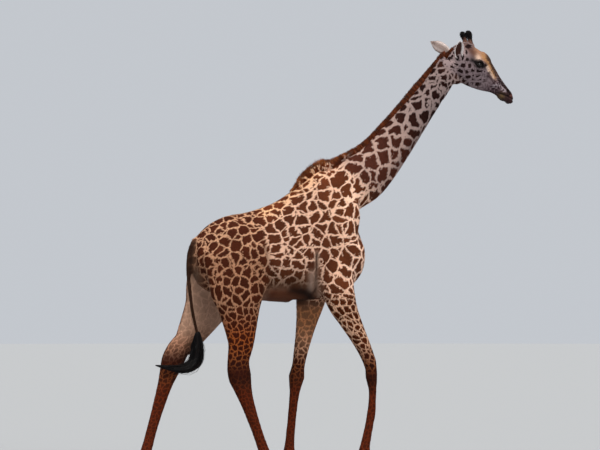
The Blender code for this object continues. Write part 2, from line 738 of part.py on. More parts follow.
def build():
    for old in list(bpy.data.objects):
        bpy.data.objects.remove(old)
    parts = bpy.data.collections.new("giraffe")
    work = bpy.data.collections.new("cutters")
    bpy.context.scene.collection.children.link(parts)
    bpy.context.scene.collection.children.link(work)

    made, flesh = make_legs(body_flesh(work), work, parts)

    # The neck ends square to its axis behind the ears, where the head takes over.
    along_axis, crest_axis = neck_frame()
    neck_turn = Matrix.Translation(NECK_ROOT) @ Matrix((
        (along_axis.x, 0.0, crest_axis.x, 0.0), (0.0, 1.0, 0.0, 0.0),
        (along_axis.z, 0.0, crest_axis.z, 0.0), (0.0, 0.0, 0.0, 1.0),
    ))
    neck, trunk = part_with(flesh, "neck", (NECK_CUT_ALONG, -REACH, -REACH), (REACH, REACH, REACH),
                            neck_turn, work, parts)
    end = block("neck_end", (HEAD_CUT_ALONG, -REACH, -REACH), (REACH, REACH, REACH), work, neck_turn)
    neck = combine(neck, end, "DIFFERENCE", parts)
    made["neck"] = neck
    made["trunk"] = finished(trunk, "trunk", work, parts)
    head_end = block("head_end", (HEAD_CUT_ALONG + GAP, -REACH, -REACH), (REACH, REACH, REACH), work,
                     neck_turn)
    head = combine(head_flesh(work), head_end, "INTERSECT", work)

    for side_name, side in SIDES.items():
        made["eye_" + side_name] = make_eye("eye_" + side_name, side, EYE_RADIUS, parts)
        socket = as_cutter(make_eye("socket_" + side_name, side, EYE_RADIUS + GAP * 2, work))
        head = combine(head, socket, "DIFFERENCE", work)
    made["head"] = finished(head, "head", work, parts)

    head_clear = swollen_copy(head, "head_clear", GAP, work)
    neck_clear = swollen_copy(neck, "neck_clear", GAP, work)
    trunk_clear = swollen_copy(trunk, "trunk_clear", GAP, work)
    for side_name, side in SIDES.items():
        ear = make_ear("ear_" + side_name, side_name, parts)
        made["ear_" + side_name] = combine(ear, head_clear, "DIFFERENCE", parts)
        horn = make_ossicone("ossicone_" + side_name, side, parts)
        made["ossicone_" + side_name] = combine(horn, head_clear, "DIFFERENCE", parts)
    mane = make_mane("mane", parts)
    for cutter in (neck_clear, trunk_clear, head_clear):
        mane = combine(mane, cutter, "DIFFERENCE", parts)
    made["mane"] = mane
    tail = tube_through("tail", TAIL_ROUTE, TAIL_RADII, parts)
    made["tail"] = combine(tail, trunk_clear, "DIFFERENCE", parts)
    made["tail_tassel"] = tube_through("tail_tassel", TASSEL_ROUTE, TASSEL_RADII, parts)

    finishes = {
        "hoof": HORN, "eye": EYE_GLOSS, "ossicone": BLACK_HAIR, "mane": MANE_HAIR,
        "tail_tassel": BLACK_HAIR, "head": COAT_PALE, "ear": COAT_PALE, "neck": COAT_PALE,
    }
    for name, piece in made.items():
        start = name.split("_")[0]
        finish = finishes.get(name, finishes.get(start, COAT_RED if "leg" in start else COAT))
        give_finish(piece, finish)
    centre_on_floor(made)


build()
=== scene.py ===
import json
import math

import bpy
import numpy as np
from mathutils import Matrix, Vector
from mathutils.bvhtree import BVHTree

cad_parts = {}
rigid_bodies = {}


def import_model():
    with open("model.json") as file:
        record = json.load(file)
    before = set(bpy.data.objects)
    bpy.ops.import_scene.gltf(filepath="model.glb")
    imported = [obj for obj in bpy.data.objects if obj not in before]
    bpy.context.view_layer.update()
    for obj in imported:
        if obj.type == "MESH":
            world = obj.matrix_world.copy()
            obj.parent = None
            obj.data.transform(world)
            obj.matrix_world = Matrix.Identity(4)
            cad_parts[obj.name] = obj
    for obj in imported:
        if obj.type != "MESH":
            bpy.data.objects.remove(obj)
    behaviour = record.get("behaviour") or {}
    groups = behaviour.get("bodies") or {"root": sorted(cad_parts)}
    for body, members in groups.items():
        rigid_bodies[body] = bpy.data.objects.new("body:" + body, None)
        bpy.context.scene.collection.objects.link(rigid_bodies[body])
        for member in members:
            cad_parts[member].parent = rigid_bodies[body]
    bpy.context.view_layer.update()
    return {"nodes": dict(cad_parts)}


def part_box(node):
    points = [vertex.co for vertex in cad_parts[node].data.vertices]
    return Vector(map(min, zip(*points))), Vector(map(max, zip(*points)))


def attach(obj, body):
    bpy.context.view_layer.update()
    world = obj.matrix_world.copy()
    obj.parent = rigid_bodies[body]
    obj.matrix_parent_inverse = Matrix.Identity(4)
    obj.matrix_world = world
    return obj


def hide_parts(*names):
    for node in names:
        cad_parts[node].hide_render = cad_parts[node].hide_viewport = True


# The whole animal: an adult female Masai giraffe at a walk, in metres, with its head towards +X, its left
# side towards +Y and its hooves on z = 0. The solids of the frame give the places and sizes below.
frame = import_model()
bpy.ops.object.select_all(action="DESELECT")


# ---------------------------------------------------------------------------------------------------
# Head form: the skull under close hide, with the cheek, brow and nose bones showing, and two cupped
# ears of thin gristle. It is one fine mesh from the upper neck to the lips, closed under the eyes.
SIGNS = {"right": -1.0, "left": 1.0}
MERGE = 0.00005
NECK_WAY = Vector((math.cos(math.radians(50)), 0.0, math.sin(math.radians(50))))
NECK_GRAFT = 0.225           # from the top corner of the neck's box down to where head and body skins join
SKULL_VOXEL, EAR_VOXEL, HEAD_VOXEL = 0.0065, 0.0030, 0.0052
SWELL, EAR_SWELL = 0.0015, 0.0008      # closes the thin cuts between solids before they are melted together
EASE, UNSHRINK = 0.5, -0.53            # the two steps of each round of easing


def only(piece):
    """Makes one piece the selected and active one."""
    bpy.ops.object.select_all(action="DESELECT")
    piece.select_set(True)
    bpy.context.view_layer.objects.active = piece


def copied_nodes(name, nodes):
    """One mesh from copies of the frame's nodes, with their loose triangles merged."""
    copies = []
    for node in nodes:
        copies.append(bpy.data.objects.new(name, frame["nodes"][node].data.copy()))
        bpy.context.collection.objects.link(copies[-1])
    only(copies[0])
    for copy in copies[1:]:
        copy.select_set(True)
    if len(copies) > 1:
        bpy.ops.object.join()
    piece = copies[0]
    piece.data.materials.clear()
    bpy.ops.object.mode_set(mode="EDIT")
    bpy.ops.mesh.select_all(action="SELECT")
    bpy.ops.mesh.remove_doubles(threshold=MERGE)
    bpy.ops.mesh.customdata_custom_splitnormals_clear()
    bpy.ops.object.mode_set(mode="OBJECT")
    return piece


def joined(pieces):
    """Joins the later pieces into the first."""
    only(pieces[0])
    for piece in pieces[1:]:
        piece.select_set(True)
    bpy.ops.object.join()
    return pieces[0]


def add_modifier(piece, kind, **settings):
    modifier = piece.modifiers.new(kind.lower(), kind)
    for name, value in settings.items():
        setattr(modifier, name, value)


def carry_out(piece):
    only(piece)
    for modifier in list(piece.modifiers):
        bpy.ops.object.modifier_apply(modifier=modifier.name)


def melted(piece, voxel, swell, rounds):
    """Melts touching forms into one skin on a grid, then eases it in pairs of steps that don't shrink it."""
    if swell:
        add_modifier(piece, "DISPLACE", strength=swell, mid_level=0.0)
    add_modifier(piece, "REMESH", mode="VOXEL", voxel_size=voxel)
    for _ in range(rounds):
        add_modifier(piece, "SMOOTH", factor=EASE, iterations=1)
        add_modifier(piece, "SMOOTH", factor=UNSHRINK, iterations=1)
    carry_out(piece)
    return piece


head = copied_nodes("head_form", ("head", "neck", "eye_right", "eye_left"))
head = melted(head, SKULL_VOXEL, SWELL, rounds=12)
ears = [melted(copied_nodes("ear_form", (f"ear_{side}",)), EAR_VOXEL, EAR_SWELL, rounds=5) for side in SIGNS]
head = melted(joined([head, *ears]), HEAD_VOXEL, 0.0, rounds=3)


# ---------------------------------------------------------------------------------------------------
# Body and tail form: neck, trunk and legs as one hide over muscle, and the thin tail, which is melted
# finer. The three forms are grafted into one closed skin, so no seam shows between them.
BODY_VOXEL, TAIL_VOXEL = 0.0155, 0.0050
TAIL_GRAFT = 1.66            # height at which the fine tail takes over from the body
TAIL_ROOM = (-1.0, 0.09)     # the tail lies behind this X, and within this distance of the middle
LEGS = [f"{limb}leg_{side}_{half}" for limb in ("fore", "hind") for side in SIGNS
        for half in ("upper", "lower")]


def read_all(rows, name, width, kind=np.float32):
    """One property of all the rows of a mesh's data, in an array that is width across."""
    values = np.empty(len(rows) * width, kind)
    rows.foreach_get(name, values)
    return values.reshape(-1, width)


def face_centres(piece):
    return read_all(piece.data.polygons, "center", 3)


def all_faces(piece):
    return np.ones(len(piece.data.polygons), bool)


def select_faces(piece, chosen):
    only(piece)
    bpy.ops.object.mode_set(mode="EDIT")
    bpy.ops.mesh.select_mode(type="FACE")
    bpy.ops.mesh.select_all(action="DESELECT")
    bpy.ops.object.mode_set(mode="OBJECT")
    piece.data.polygons.foreach_set("select", chosen)
    bpy.ops.object.mode_set(mode="EDIT")


def divided(piece, chosen, cuts):
    """Divides the chosen faces finer."""
    select_faces(piece, chosen)
    bpy.ops.mesh.subdivide(number_cuts=cuts)
    bpy.ops.object.mode_set(mode="OBJECT")


def clear_beyond(piece, chosen, place, way):
    """Cuts the chosen faces by a plane and clears what lies beyond it."""
    select_faces(piece, chosen)
    bpy.ops.mesh.bisect(plane_co=place, plane_no=way, clear_outer=True)
    bpy.ops.object.mode_set(mode="OBJECT")


def grafted(stock, scion):
    """Joins two open forms by bridging their rims, and eases the join."""
    piece = joined([stock, scion])
    bpy.ops.object.mode_set(mode="EDIT")
    bpy.ops.mesh.select_mode(type="EDGE")
    bpy.ops.mesh.select_all(action="DESELECT")
    bpy.ops.mesh.select_non_manifold(extend=False, use_wire=False, use_boundary=True,
                                     use_multi_face=False, use_non_contiguous=False, use_verts=False)
    bpy.ops.mesh.bridge_edge_loops()
    for _ in range(3):
        bpy.ops.mesh.select_more()
    bpy.ops.mesh.vertices_smooth(factor=0.5, repeat=3)
    bpy.ops.mesh.select_all(action="SELECT")
    bpy.ops.mesh.normals_make_consistent(inside=False)
    bpy.ops.object.mode_set(mode="OBJECT")
    return piece


def tree_of(piece):
    return BVHTree.FromObject(piece, bpy.context.evaluated_depsgraph_get())


skin = melted(copied_nodes("skin", ["head", "neck", "trunk", "tail", *LEGS]), BODY_VOXEL, SWELL, rounds=10)
tail = melted(copied_nodes("tail_form", ("tail",)), TAIL_VOXEL, SWELL, rounds=6)

neck_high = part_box("neck")[1]
neck_cut = Vector((neck_high.x, 0.0, neck_high.z)) - NECK_WAY * NECK_GRAFT
clear_beyond(skin, all_faces(skin), neck_cut, NECK_WAY)
clear_beyond(head, all_faces(head), neck_cut, -NECK_WAY)
skin = grafted(skin, head)

tail_tree = tree_of(tail)
centres = face_centres(skin)
near_tail = np.zeros(len(centres), bool)
for index in np.flatnonzero((centres[:, 2] < TAIL_GRAFT + 0.05) & (abs(centres[:, 1]) < TAIL_ROOM[1])
                            & (centres[:, 0] < TAIL_ROOM[0])):
    near_tail[index] = tail_tree.find_nearest(centres[index])[3] < BODY_VOXEL
tail_cut = Vector((0.0, 0.0, TAIL_GRAFT))
clear_beyond(skin, near_tail, tail_cut, Vector((0, 0, -1)))
clear_beyond(tail, all_faces(tail), tail_cut, Vector((0, 0, 1)))
skin = grafted(skin, tail)
skin.name = "skin"


# ---------------------------------------------------------------------------------------------------
# Hide: the skin as it lies on the flesh, one coat's depth inside the tips of the hairs. It folds behind
# the shoulder and before the thigh, thickens into lids round the eyes, and is slit at nostrils and lips.
HEAD_DIP = math.radians(34.5)
EYE_RADIUS = (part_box("eye_right")[1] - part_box("eye_right")[0]).z / 2
LID_RADIUS = EYE_RADIUS + 0.0032
LID_HALF_LENGTH = 0.0285
LID_HALF_HEIGHTS = {"upper": 0.0150, "lower": 0.0160}
LID_TILT = math.radians(17)  # the slit's rise towards the nose, from the line of the head
LID_SNAP = 0.0008            # vertices this near the margin are moved onto it
EYE_REGION = 0.050
MUZZLE_START, MUZZLE_FLOOR = 0.27, -0.2      # ahead of the eyes and above them, where the muzzle is finer
EAR_NEAR = 0.004             # what lies this near the ears' solids is ear
NECK_FOOT = Vector((0.17, 0.0, 2.45))
NECK_TOP = 1.2               # how far up the neck from its foot the head and ears begin
CREST_WAY = Vector((-NECK_WAY.z, 0.0, NECK_WAY.x))
HEAD_AXES = np.array(((math.cos(HEAD_DIP), 0.0, -math.sin(HEAD_DIP)), (0.0, 1.0, 0.0),
                      (math.sin(HEAD_DIP), 0.0, math.cos(HEAD_DIP))))

eye_middle = {side: (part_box(f"eye_{side}")[0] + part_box(f"eye_{side}")[1]) / 2 for side in SIGNS}
between_eyes = (eye_middle["right"] + eye_middle["left"]) / 2


def vertex_array(piece):
    """The places of a piece's vertices, as rows of three."""
    return read_all(piece.data.vertices, "co", 3).astype(float)


def normal_array(piece):
    return read_all(piece.data.vertex_normals, "vector", 3).astype(float)


def in_head_frame(places):
    """Places as distances ahead of the eyes, across and above."""
    return (places - np.array(between_eyes)) @ HEAD_AXES.T


def up_neck(places, way=NECK_WAY):
    """How far places lie from the neck's foot, up the neck or another way."""
    return (places - np.array(NECK_FOOT)) @ np.array(way)


def set_places(piece, places):
    piece.data.vertices.foreach_set("co", places.astype(np.float32).ravel())
    piece.data.update()


def rise(value, start, end):
    """0 before start, 1 past end, and a smooth step between."""
    part = np.clip((value - start) / (end - start), 0.0, 1.0)
    return part * part * (3 - 2 * part)


def hump(distance, width):
    """1 on a line or point, falling smoothly to 0 about two widths away."""
    return np.exp(-(distance / width) ** 2)


def off_route(flat, route):
    """The distance of flat points from an open polyline."""
    best = np.full(len(flat), 1e9)
    for start, end in zip(route, route[1:]):
        start, step = np.array(start), np.subtract(end, start)
        part = np.clip(((flat - start) @ step) / (step @ step), 0.0, 1.0)
        best = np.minimum(best, np.linalg.norm(flat - start - part[:, None] * step, axis=1))
    return best


def near_trees(trees, places, chosen, distance):
    """1 at each of the chosen places that lies within a distance of a tree's faces, 0 elsewhere."""
    result = np.zeros(len(places))
    for index in np.flatnonzero(chosen):
        result[index] = min(tree.find_nearest(places[index])[3] for tree in trees) < distance
    return result


def diffused(values, links, rounds, share=0.5):
    """Evens values out over the mesh, each vertex towards the mean of its neighbours."""
    size = len(values)
    columns = values.reshape(size, -1).astype(float).T.copy()
    count = np.bincount(links.ravel(), minlength=size)
    share = np.broadcast_to(share, (size,))
    for _ in range(rounds):
        for column in columns:
            total = np.bincount(links[:, 0], column[links[:, 1]], size)
            total += np.bincount(links[:, 1], column[links[:, 0]], size)
            column += (total / count - column) * share
    return columns.T.reshape(values.shape)


# The hide round the eyes and on the muzzle is divided finer, so that lids and lips have thin margins.
centres = face_centres(skin)
near_eyes = np.zeros(len(centres), bool)
for middle in eye_middle.values():
    near_eyes |= np.linalg.norm(centres - np.array(middle), axis=1) < EYE_REGION
divided(skin, near_eyes, 2)
centres = in_head_frame(face_centres(skin))
divided(skin, (centres[:, 0] > MUZZLE_START) & (centres[:, 2] > MUZZLE_FLOOR), 1)

links = read_all(skin.data.edges, "vertices", 2, np.int32)
points = vertex_array(skin)

# Flat muscles under the thick hide of the trunk are eased more than the bony head and legs.
on_neck_line = up_neck(points)
on_trunk = rise(points[:, 2], 1.50, 1.62) * (1 - rise(on_neck_line, -0.1, 0.3))
on_trunk *= rise(points[:, 0], -1.21, -1.13)
ear_trees = [tree_of(frame["nodes"][f"ear_{side}"]) for side in SIGNS]
on_ear = near_trees(ear_trees, points, on_neck_line > NECK_TOP, EAR_NEAR)
eased = diffused(points, links, 40, 0.5 * on_trunk)
points = eased + diffused(points - eased, links, 30, 0.5 * on_trunk)
points = diffused(points, links, 4, 0.5 * on_ear)
points = diffused(points, links, 12, 0.5 * hump(on_neck_line - up_neck(np.array(neck_cut)), 0.05))
in_head = in_head_frame(points)
points = diffused(points, links, 50, 0.5 * hump(np.hypot(in_head[:, 0] + 0.025, in_head[:, 2] + 0.205), 0.05))
set_places(skin, points)
normals = normal_array(skin)

# Folds and grooves of the body: where each runs in side view, how deep and how wide, and the least
# distance from the middle of the body at which it shows.
BODY_FOLDS = (
    (((-0.232, 1.86), (-0.226, 1.70), (-0.205, 1.53)), 0.018, 0.022, 0.14),      # behind the shoulder
    (((-0.245, 2.02), (-0.236, 1.90), (-0.222, 1.62)), 0.008, 0.035, 0.14),
    (((-0.175, 1.86), (-0.150, 1.70), (-0.120, 1.55)), -0.010, 0.040, 0.14),     # muscle ahead of that fold
    (((-0.670, 1.93), (-0.650, 1.82), (-0.600, 1.60)), 0.013, 0.022, 0.12),      # flank, before the thigh
    (((-0.700, 2.06), (-0.660, 1.86), (-0.640, 1.72)), 0.008, 0.040, 0.12),
    (((-1.03, 1.95), (-0.98, 1.72), (-0.93, 1.45)), 0.008, 0.030, 0.10),         # between the thigh muscles
    (((0.05, 2.30), (0.16, 2.05), (0.20, 1.90)), 0.010, 0.030, 0.10),            # before the shoulder blade
    (((-0.10, 2.30), (-0.02, 2.05), (0.08, 1.85)), -0.008, 0.045, 0.10),         # spine of the shoulder blade
    (((0.22, 2.22), (0.56, 2.60), (1.02, 3.19)), 0.009, 0.024, 0.03),            # groove along the throat
    (((-0.42, 2.10), (-0.47, 1.80), (-0.44, 1.62)), 0.003, 0.018, 0.16),         # between the last ribs
    (((-0.52, 2.06), (-0.56, 1.82), (-0.52, 1.64)), 0.003, 0.018, 0.16),
)
side_view = points[:, (0, 2)]
shift = np.zeros(len(points))
for route, depth, width, least in BODY_FOLDS:
    outer = rise(abs(points[:, 1]), least - 0.03, least + 0.03)
    shift -= depth * hump(off_route(side_view, route), width) * outer

# Features of the face, in the frame of the head: along it from the eyes, across, and above.
in_head = in_head_frame(points)
profile = in_head[:, (0, 2)]
across = abs(in_head[:, 1])
on_face = rise(in_head[:, 0], -0.13, -0.05)
MOUTH = ((0.282, -0.080), (0.312, -0.068), (0.350, -0.057), (0.392, -0.047), (0.425, -0.043), (0.46, -0.046))
NOSTRIL = ((0.350, -0.010), (0.372, -0.016), (0.388, -0.030))
mouth_off = off_route(profile, MOUTH)
nostril_off = off_route(profile, NOSTRIL)
beside = rise(across, 0.012, 0.026)
shift -= on_face * 0.0055 * hump(mouth_off, 0.0045)
shift += on_face * 0.0030 * hump(mouth_off - 0.016, 0.010) * rise(in_head[:, 0], 0.28, 0.34)
shift -= on_face * beside * 0.010 * hump(nostril_off, 0.0062)
shift += on_face * beside * 0.0035 * hump(nostril_off - 0.014, 0.006)
FACE_LINES = (
    (((0.09, -0.045), (0.18, -0.070), (0.26, -0.078)), 0.004, 0.012, 0.02),      # under the cheek bone
    (((0.03, -0.028), (0.10, -0.020), (0.20, -0.012)), -0.004, 0.010, 0.03),     # cheek bone
    (((-0.06, -0.16), (0.02, -0.13), (0.12, -0.10)), 0.003, 0.014, 0.02),        # edge of the chewing muscle
    (((0.14, 0.034), (0.24, 0.010), (0.33, -0.002)), 0.003, 0.009, 0.02),        # side of the nose bone
)
for route, depth, width, least in FACE_LINES:
    outer = rise(across, least, least + 0.02)
    shift -= on_face * depth * hump(off_route(profile, route), width) * outer
points += normals * shift[:, None]


def eye_axes(side):
    """The way an eye looks, the way its slit runs towards the nose, and the way up its lids."""
    gaze = HEAD_AXES.T @ np.array((0.10, SIGNS[side], 0.12))
    gaze /= np.linalg.norm(gaze)
    slit = HEAD_AXES.T @ np.array((math.cos(LID_TILT), 0.0, math.sin(LID_TILT)))
    slit -= gaze * (slit @ gaze)
    slit /= np.linalg.norm(slit)
    return gaze, slit, np.cross(slit, gaze) * SIGNS[side]


# Lids: pushed out over the eyeball all round the slit, and pushed in under it inside the slit.
lid_edge = np.full(len(points), -1.0)            # how far inside the slit, in metres; below 0 outside it
above_slit = np.zeros(len(points))
for side in SIGNS:
    gaze, slit, lid_up = eye_axes(side)
    offset = points - np.array(eye_middle[side])
    reach = np.linalg.norm(offset, axis=1)
    near = np.flatnonzero((reach < EYE_REGION) & (offset @ gaze > 0.2 * EYE_RADIUS))
    way = offset[near] / reach[near, None]
    along_slit, off_slit = way @ slit * EYE_RADIUS, way @ lid_up * EYE_RADIUS
    half = np.where(off_slit > 0, LID_HALF_HEIGHTS["upper"], LID_HALF_HEIGHTS["lower"])
    half = half * (1 - (along_slit / LID_HALF_LENGTH) ** 2)
    edge = half - abs(off_slit)
    onto = np.sign(off_slit) * (half + 0.0001) - off_slit
    snap = np.where((abs(edge) < LID_SNAP) & (half > 0.001), onto, 0.0)
    way = way + snap[:, None] / EYE_RADIUS * lid_up
    way /= np.linalg.norm(way, axis=1)[:, None]
    edge = np.where(snap == 0.0, edge, -0.0001)
    fade = 1 - rise(reach[near], 0.037, 0.049)
    hold = (1 - rise(-edge, 0.006, 0.019)) * fade
    target = np.where(edge > 0, EYE_RADIUS - 0.004, LID_RADIUS)
    crease = 0.0028 * hump(edge + 0.0125, 0.0028) * rise(off_slit, 0.0, 0.004)
    pouch = 0.0020 * hump(edge + 0.0120, 0.0030) * rise(-off_slit, 0.0, 0.004)
    new_reach = reach[near] + (target - reach[near]) * hold - (crease + pouch) * fade
    points[near] = np.array(eye_middle[side]) + way * new_reach[:, None]
    lid_edge[near] = edge
    above_slit[near] = off_slit
set_places(skin, points)
normals = normal_array(skin)

# The coat's depth, from the skin to the tips of the hairs, is least on the face and feet.
BODY_COAT, FACE_COAT, LEG_COAT = 0.0034, 0.0016, 0.0024
off_eyes = [np.linalg.norm(points - np.array(middle), axis=1) for middle in eye_middle.values()]
off_eyes = np.min(off_eyes, axis=0)
on_head = rise(on_neck_line, 1.22, 1.34)
low_leg = 1 - rise(points[:, 2], 0.55, 1.10)
coat_depth = BODY_COAT + (LEG_COAT - BODY_COAT) * low_leg + (FACE_COAT - BODY_COAT) * on_head
sink = (coat_depth + SWELL) * rise(off_eyes, 0.036, 0.060)
points -= normals * sink[:, None]

# The skin's lower rims reach down round the tops of the hooves.
hoof_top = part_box("hoof_fore_right_inner")[1].z
points[:, 2] -= 0.010 * (1 - rise(points[:, 2], hoof_top + 0.004, hoof_top + 0.040))
set_places(skin, points)


# ---------------------------------------------------------------------------------------------------
# Markings: every hair takes its colour from where it is rooted. The pale ground and the dark leaves
# change from jaw to hoof, and the leaves grow on a lattice that is wide on the neck and small below.
# Some colour layers below are painted light and shade rather than markings; each is marked where it is laid.
TRUNK_CELLS = ((-1.20, -0.70, -0.30, 0.00, 0.30), (0.074, 0.080, 0.092, 0.104, 0.115))
NECK_CELLS = ((0.0, 0.35, 0.75, 1.05, 1.25), (0.112, 0.118, 0.104, 0.084, 0.056))
LEG_CELLS = ((0.1, 0.5, 0.9, 1.2, 1.45, 1.70), (0.026, 0.030, 0.038, 0.046, 0.058, 0.085))
FACE_CELL = 0.055
TRUNK_LEVEL = 1.95           # height from which the lattice is counted
NAPE_LINE = 1.25             # how far up the neck the head's lattice takes over
LEG_JOIN = 1.60              # height at which the leg's lattice takes over from the trunk's
EAR_TIPS = {"right": (-0.25, -0.68, 0.69), "left": (-0.84, 0.22, 0.50)}          # ways the ears point
EAR_OPENINGS = {"right": (0.25, -0.75, -0.45), "left": (0.36, 0.90, -0.22)}      # ways they open


def running_count(places, sizes, start, end):
    """How many cells lie between the start and each place along a line, as two rows to read from."""
    line = np.linspace(start, end, 400)
    counts = np.cumsum(1.0 / np.interp(line, places, sizes)) * (line[1] - line[0])
    return line, counts - counts[0]


points = vertex_array(skin)
normals = normal_array(skin)
x, y, z = points.T
in_head = in_head_frame(points)
ahead, across, above = in_head[:, 0], abs(in_head[:, 1]), in_head[:, 2]
neck_line, neck_crest = up_neck(points), up_neck(points, CREST_WAY)
outward = normals[:, 1] * np.sign(y)

tail_room = (x < -1.1) & (abs(y) < 0.10) & (z > 1.2) & (z < 2.0)
on_tail = near_trees([tree_of(frame["nodes"]["tail"])], points, tail_room, 0.012)
links = read_all(skin.data.edges, "vertices", 2, np.int32)
on_tail = diffused(on_tail, links, 2)
on_ear = diffused(near_trees(ear_trees, points, neck_line > NECK_TOP, EAR_NEAR + 0.0005), links, 2)
on_head = rise(neck_line, 1.20, 1.34)
on_neck = rise(neck_line, -0.06, 0.16) * (1 - on_head)
off_leg = np.maximum(rise(z, 1.44, 1.66), np.where((z > 1.2) & (on_tail > 0.3), 1.0, 0.0))
on_leg = 1 - off_leg
fore = x > -0.45 - 0.10 * rise(z, 1.2, 1.5)

# The lattice of the trunk, in counts of cells, then of the neck, the head and each leg.
trunk_counts = running_count(*TRUNK_CELLS, -1.4, 2.0)
cell = np.interp(x, *TRUNK_CELLS)
lattice = np.column_stack((np.interp(x, *trunk_counts), y / cell, (z - TRUNK_LEVEL) / cell))
foot = (np.interp(NECK_FOOT.x, *trunk_counts), 0.0, (NECK_FOOT.z - TRUNK_LEVEL) / NECK_CELLS[1][0])
foot = np.array(foot)
line, counts = running_count(*NECK_CELLS, -0.6, 2.2)
counts -= np.interp(0.0, line, counts)
cell = np.interp(neck_line, *NECK_CELLS)
beside_axis = points - np.array(NECK_FOOT) - neck_line[:, None] * np.array(NECK_WAY)
neck_lattice = foot + np.interp(neck_line, line, counts)[:, None] * np.array(NECK_WAY)
neck_lattice += beside_axis / cell[:, None]
nape = foot + np.interp(NAPE_LINE, line, counts) * np.array(NECK_WAY)
from_nape = points - np.array(NECK_FOOT) - NAPE_LINE * np.array(NECK_WAY)
blend = rise(neck_line, -0.06, 0.16)[:, None]
lattice += (neck_lattice - lattice) * blend
lattice += (nape + from_nape / FACE_CELL - lattice) * on_head[:, None]

line, counts = running_count(*LEG_CELLS, 0.0, 1.8)
for is_fore in (True, False):
    for sign in SIGNS.values():
        leg = (fore == is_fore) & (y * sign > 0) & (z < 1.75) & (on_tail < 0.3)
        levels = np.arange(0.10, 1.50, 0.05)
        middles = np.array([points[leg & (abs(z - level) < 0.03)][:, :2].mean(axis=0) for level in levels])
        joint = np.array([np.interp(LEG_JOIN, levels, middles[:, axis]) for axis in (0, 1)])
        top_cell = LEG_CELLS[1][-1]
        top = np.interp(joint[0], *trunk_counts), joint[1] / top_cell, (LEG_JOIN - TRUNK_LEVEL) / top_cell
        cell = np.interp(z[leg], *LEG_CELLS)
        axis = np.column_stack([np.interp(z[leg], levels, middles[:, k]) for k in (0, 1)])
        leg_lattice = np.column_stack((
            top[0] + (x[leg] - axis[:, 0]) / cell, top[1] + (y[leg] - axis[:, 1]) / cell,
            top[2] + np.interp(z[leg], line, counts) - np.interp(LEG_JOIN, line, counts),
        ))
        lattice[leg] += (leg_lattice - lattice[leg]) * on_leg[leg][:, None]


def colour(code):
    """Light amounts of red, green and blue from a maker's six-digit colour code."""
    shares = [int(code[place:place + 2], 16) / 255 for place in (0, 2, 4)]
    return np.array([share / 12.92 if share < 0.04 else ((share + 0.055) / 1.055) ** 2.4 for share in shares])


def coloured(layers):
    """Lays colours one over another, each by its own share at every root. Three numbers after the share
    strengthen or weaken the red, green and blue of that colour."""
    result = np.zeros((len(points), 3))
    for code, share, *toning in layers:
        toned = colour(code) * np.array(toning or 1.0)
        result += (toned - result) * np.broadcast_to(share, len(points))[:, None]
    return result


def stripe(route, width):
    """A soft line on the body, in side view."""
    return hump(off_route(points[:, (0, 2)], route), width)


def spot(near_ahead, near_above, width):
    """A soft round place on the face."""
    return hump(np.hypot(ahead - near_ahead, above - near_above), width)


def along(route, width):
    """A soft line on the face, in side view."""
    return hump(off_route(np.column_stack((ahead, above)), route), width)


# The top of the back is painted lighter and warmer, ground and leaves alike: painted light from above.
back_slope = 0.35 * rise(x, -0.7, -0.1)
lit_back_top = rise(z, 2.05 + back_slope, 2.25 + back_slope) * (1 - on_neck)
# The lower flank between shoulder and thigh is painted darker: painted shade under the curve of the body.
low_flank_shade = (1 - rise(z, 1.62, 1.85)) * rise(x, -0.75, -0.62) * (1 - rise(x, -0.26, -0.14)) * off_leg
# The belly's dark orange-brown band is partly its own colour and partly painted shade under the body.
belly_colour_and_shade = (1 - rise(z, 1.570, 1.665)) * rise(z, 1.44, 1.49)
belly_colour_and_shade = belly_colour_and_shade * rise(x, -0.70, -0.58) * (1 - rise(x, -0.25, -0.14))
hind_part = 1 - rise(x, -0.72, -0.60)
# A near-black painted shadow under the belly, behind the elbow.
elbow_shadow = stripe(((-0.42, 1.610), (-0.31, 1.580), (-0.20, 1.525)), 0.050)
thigh = hind_part * (1 - rise(z, 1.75, 2.05))
inside = (1 - rise(outward, -0.35, 0.15)) * rise(z, 0.98, 1.34) * (1 - on_neck)
inside *= np.where(x < -0.8, 1 - rise(z, 1.65, 1.85), 1 - rise(z, 1.42, 1.54))
ear_hollow_shade, ear_middle = np.zeros(len(points)), np.zeros(len(points))
for side, sign in SIGNS.items():
    ear = np.flatnonzero((on_ear > 0.3) & (y * sign > 0))
    tip_way, opening = np.array(EAR_TIPS[side]), np.array(EAR_OPENINGS[side])
    along_ear = points[ear] @ tip_way
    across_ear = points[ear] @ np.cross(tip_way, opening)
    stops = np.linspace(along_ear.min(), along_ear.max(), 12)
    edges = [np.percentile(across_ear[abs(along_ear - stop) < 0.012], (2, 98)) for stop in stops]
    low_edge, high_edge = (np.interp(along_ear, stops, [edge[k] for edge in edges]) for k in (0, 1))
    off_rim = np.minimum(across_ear - low_edge, high_edge - across_ear) / 0.5 / (high_edge - low_edge)
    # The cupped side of each ear is painted dark brown as shade inside the hollow.
    hollow_shade = rise(normals[ear] @ opening, 0.05, 0.35) * rise(off_rim, 0.16, 0.42)
    ear_middle[ear] = rise(off_rim, 0.20, 0.80)
    ear_hollow_shade[ear] += hollow_shade * (1 - rise(along_ear, stops[-1] - 0.030, stops[-1] - 0.012))
behind = (1 - rise(x, -1.20, -1.10)) * (1 - rise(abs(y), 0.07, 0.11)) * rise(z, 1.2, 1.5) * (1 - on_tail)
behind *= 1 - rise(z, 1.72, 1.90)
low = 1 - rise(z, 0.95, 1.25)
shin = 1 - rise(z, 0.75, 0.98)
knees = hump(z - 0.87, 0.09) * fore * np.where(y > 0, 0.35, 1.0)
knees += hump(z - np.where(y > 0, 1.03, 0.91), 0.10) * ~fore
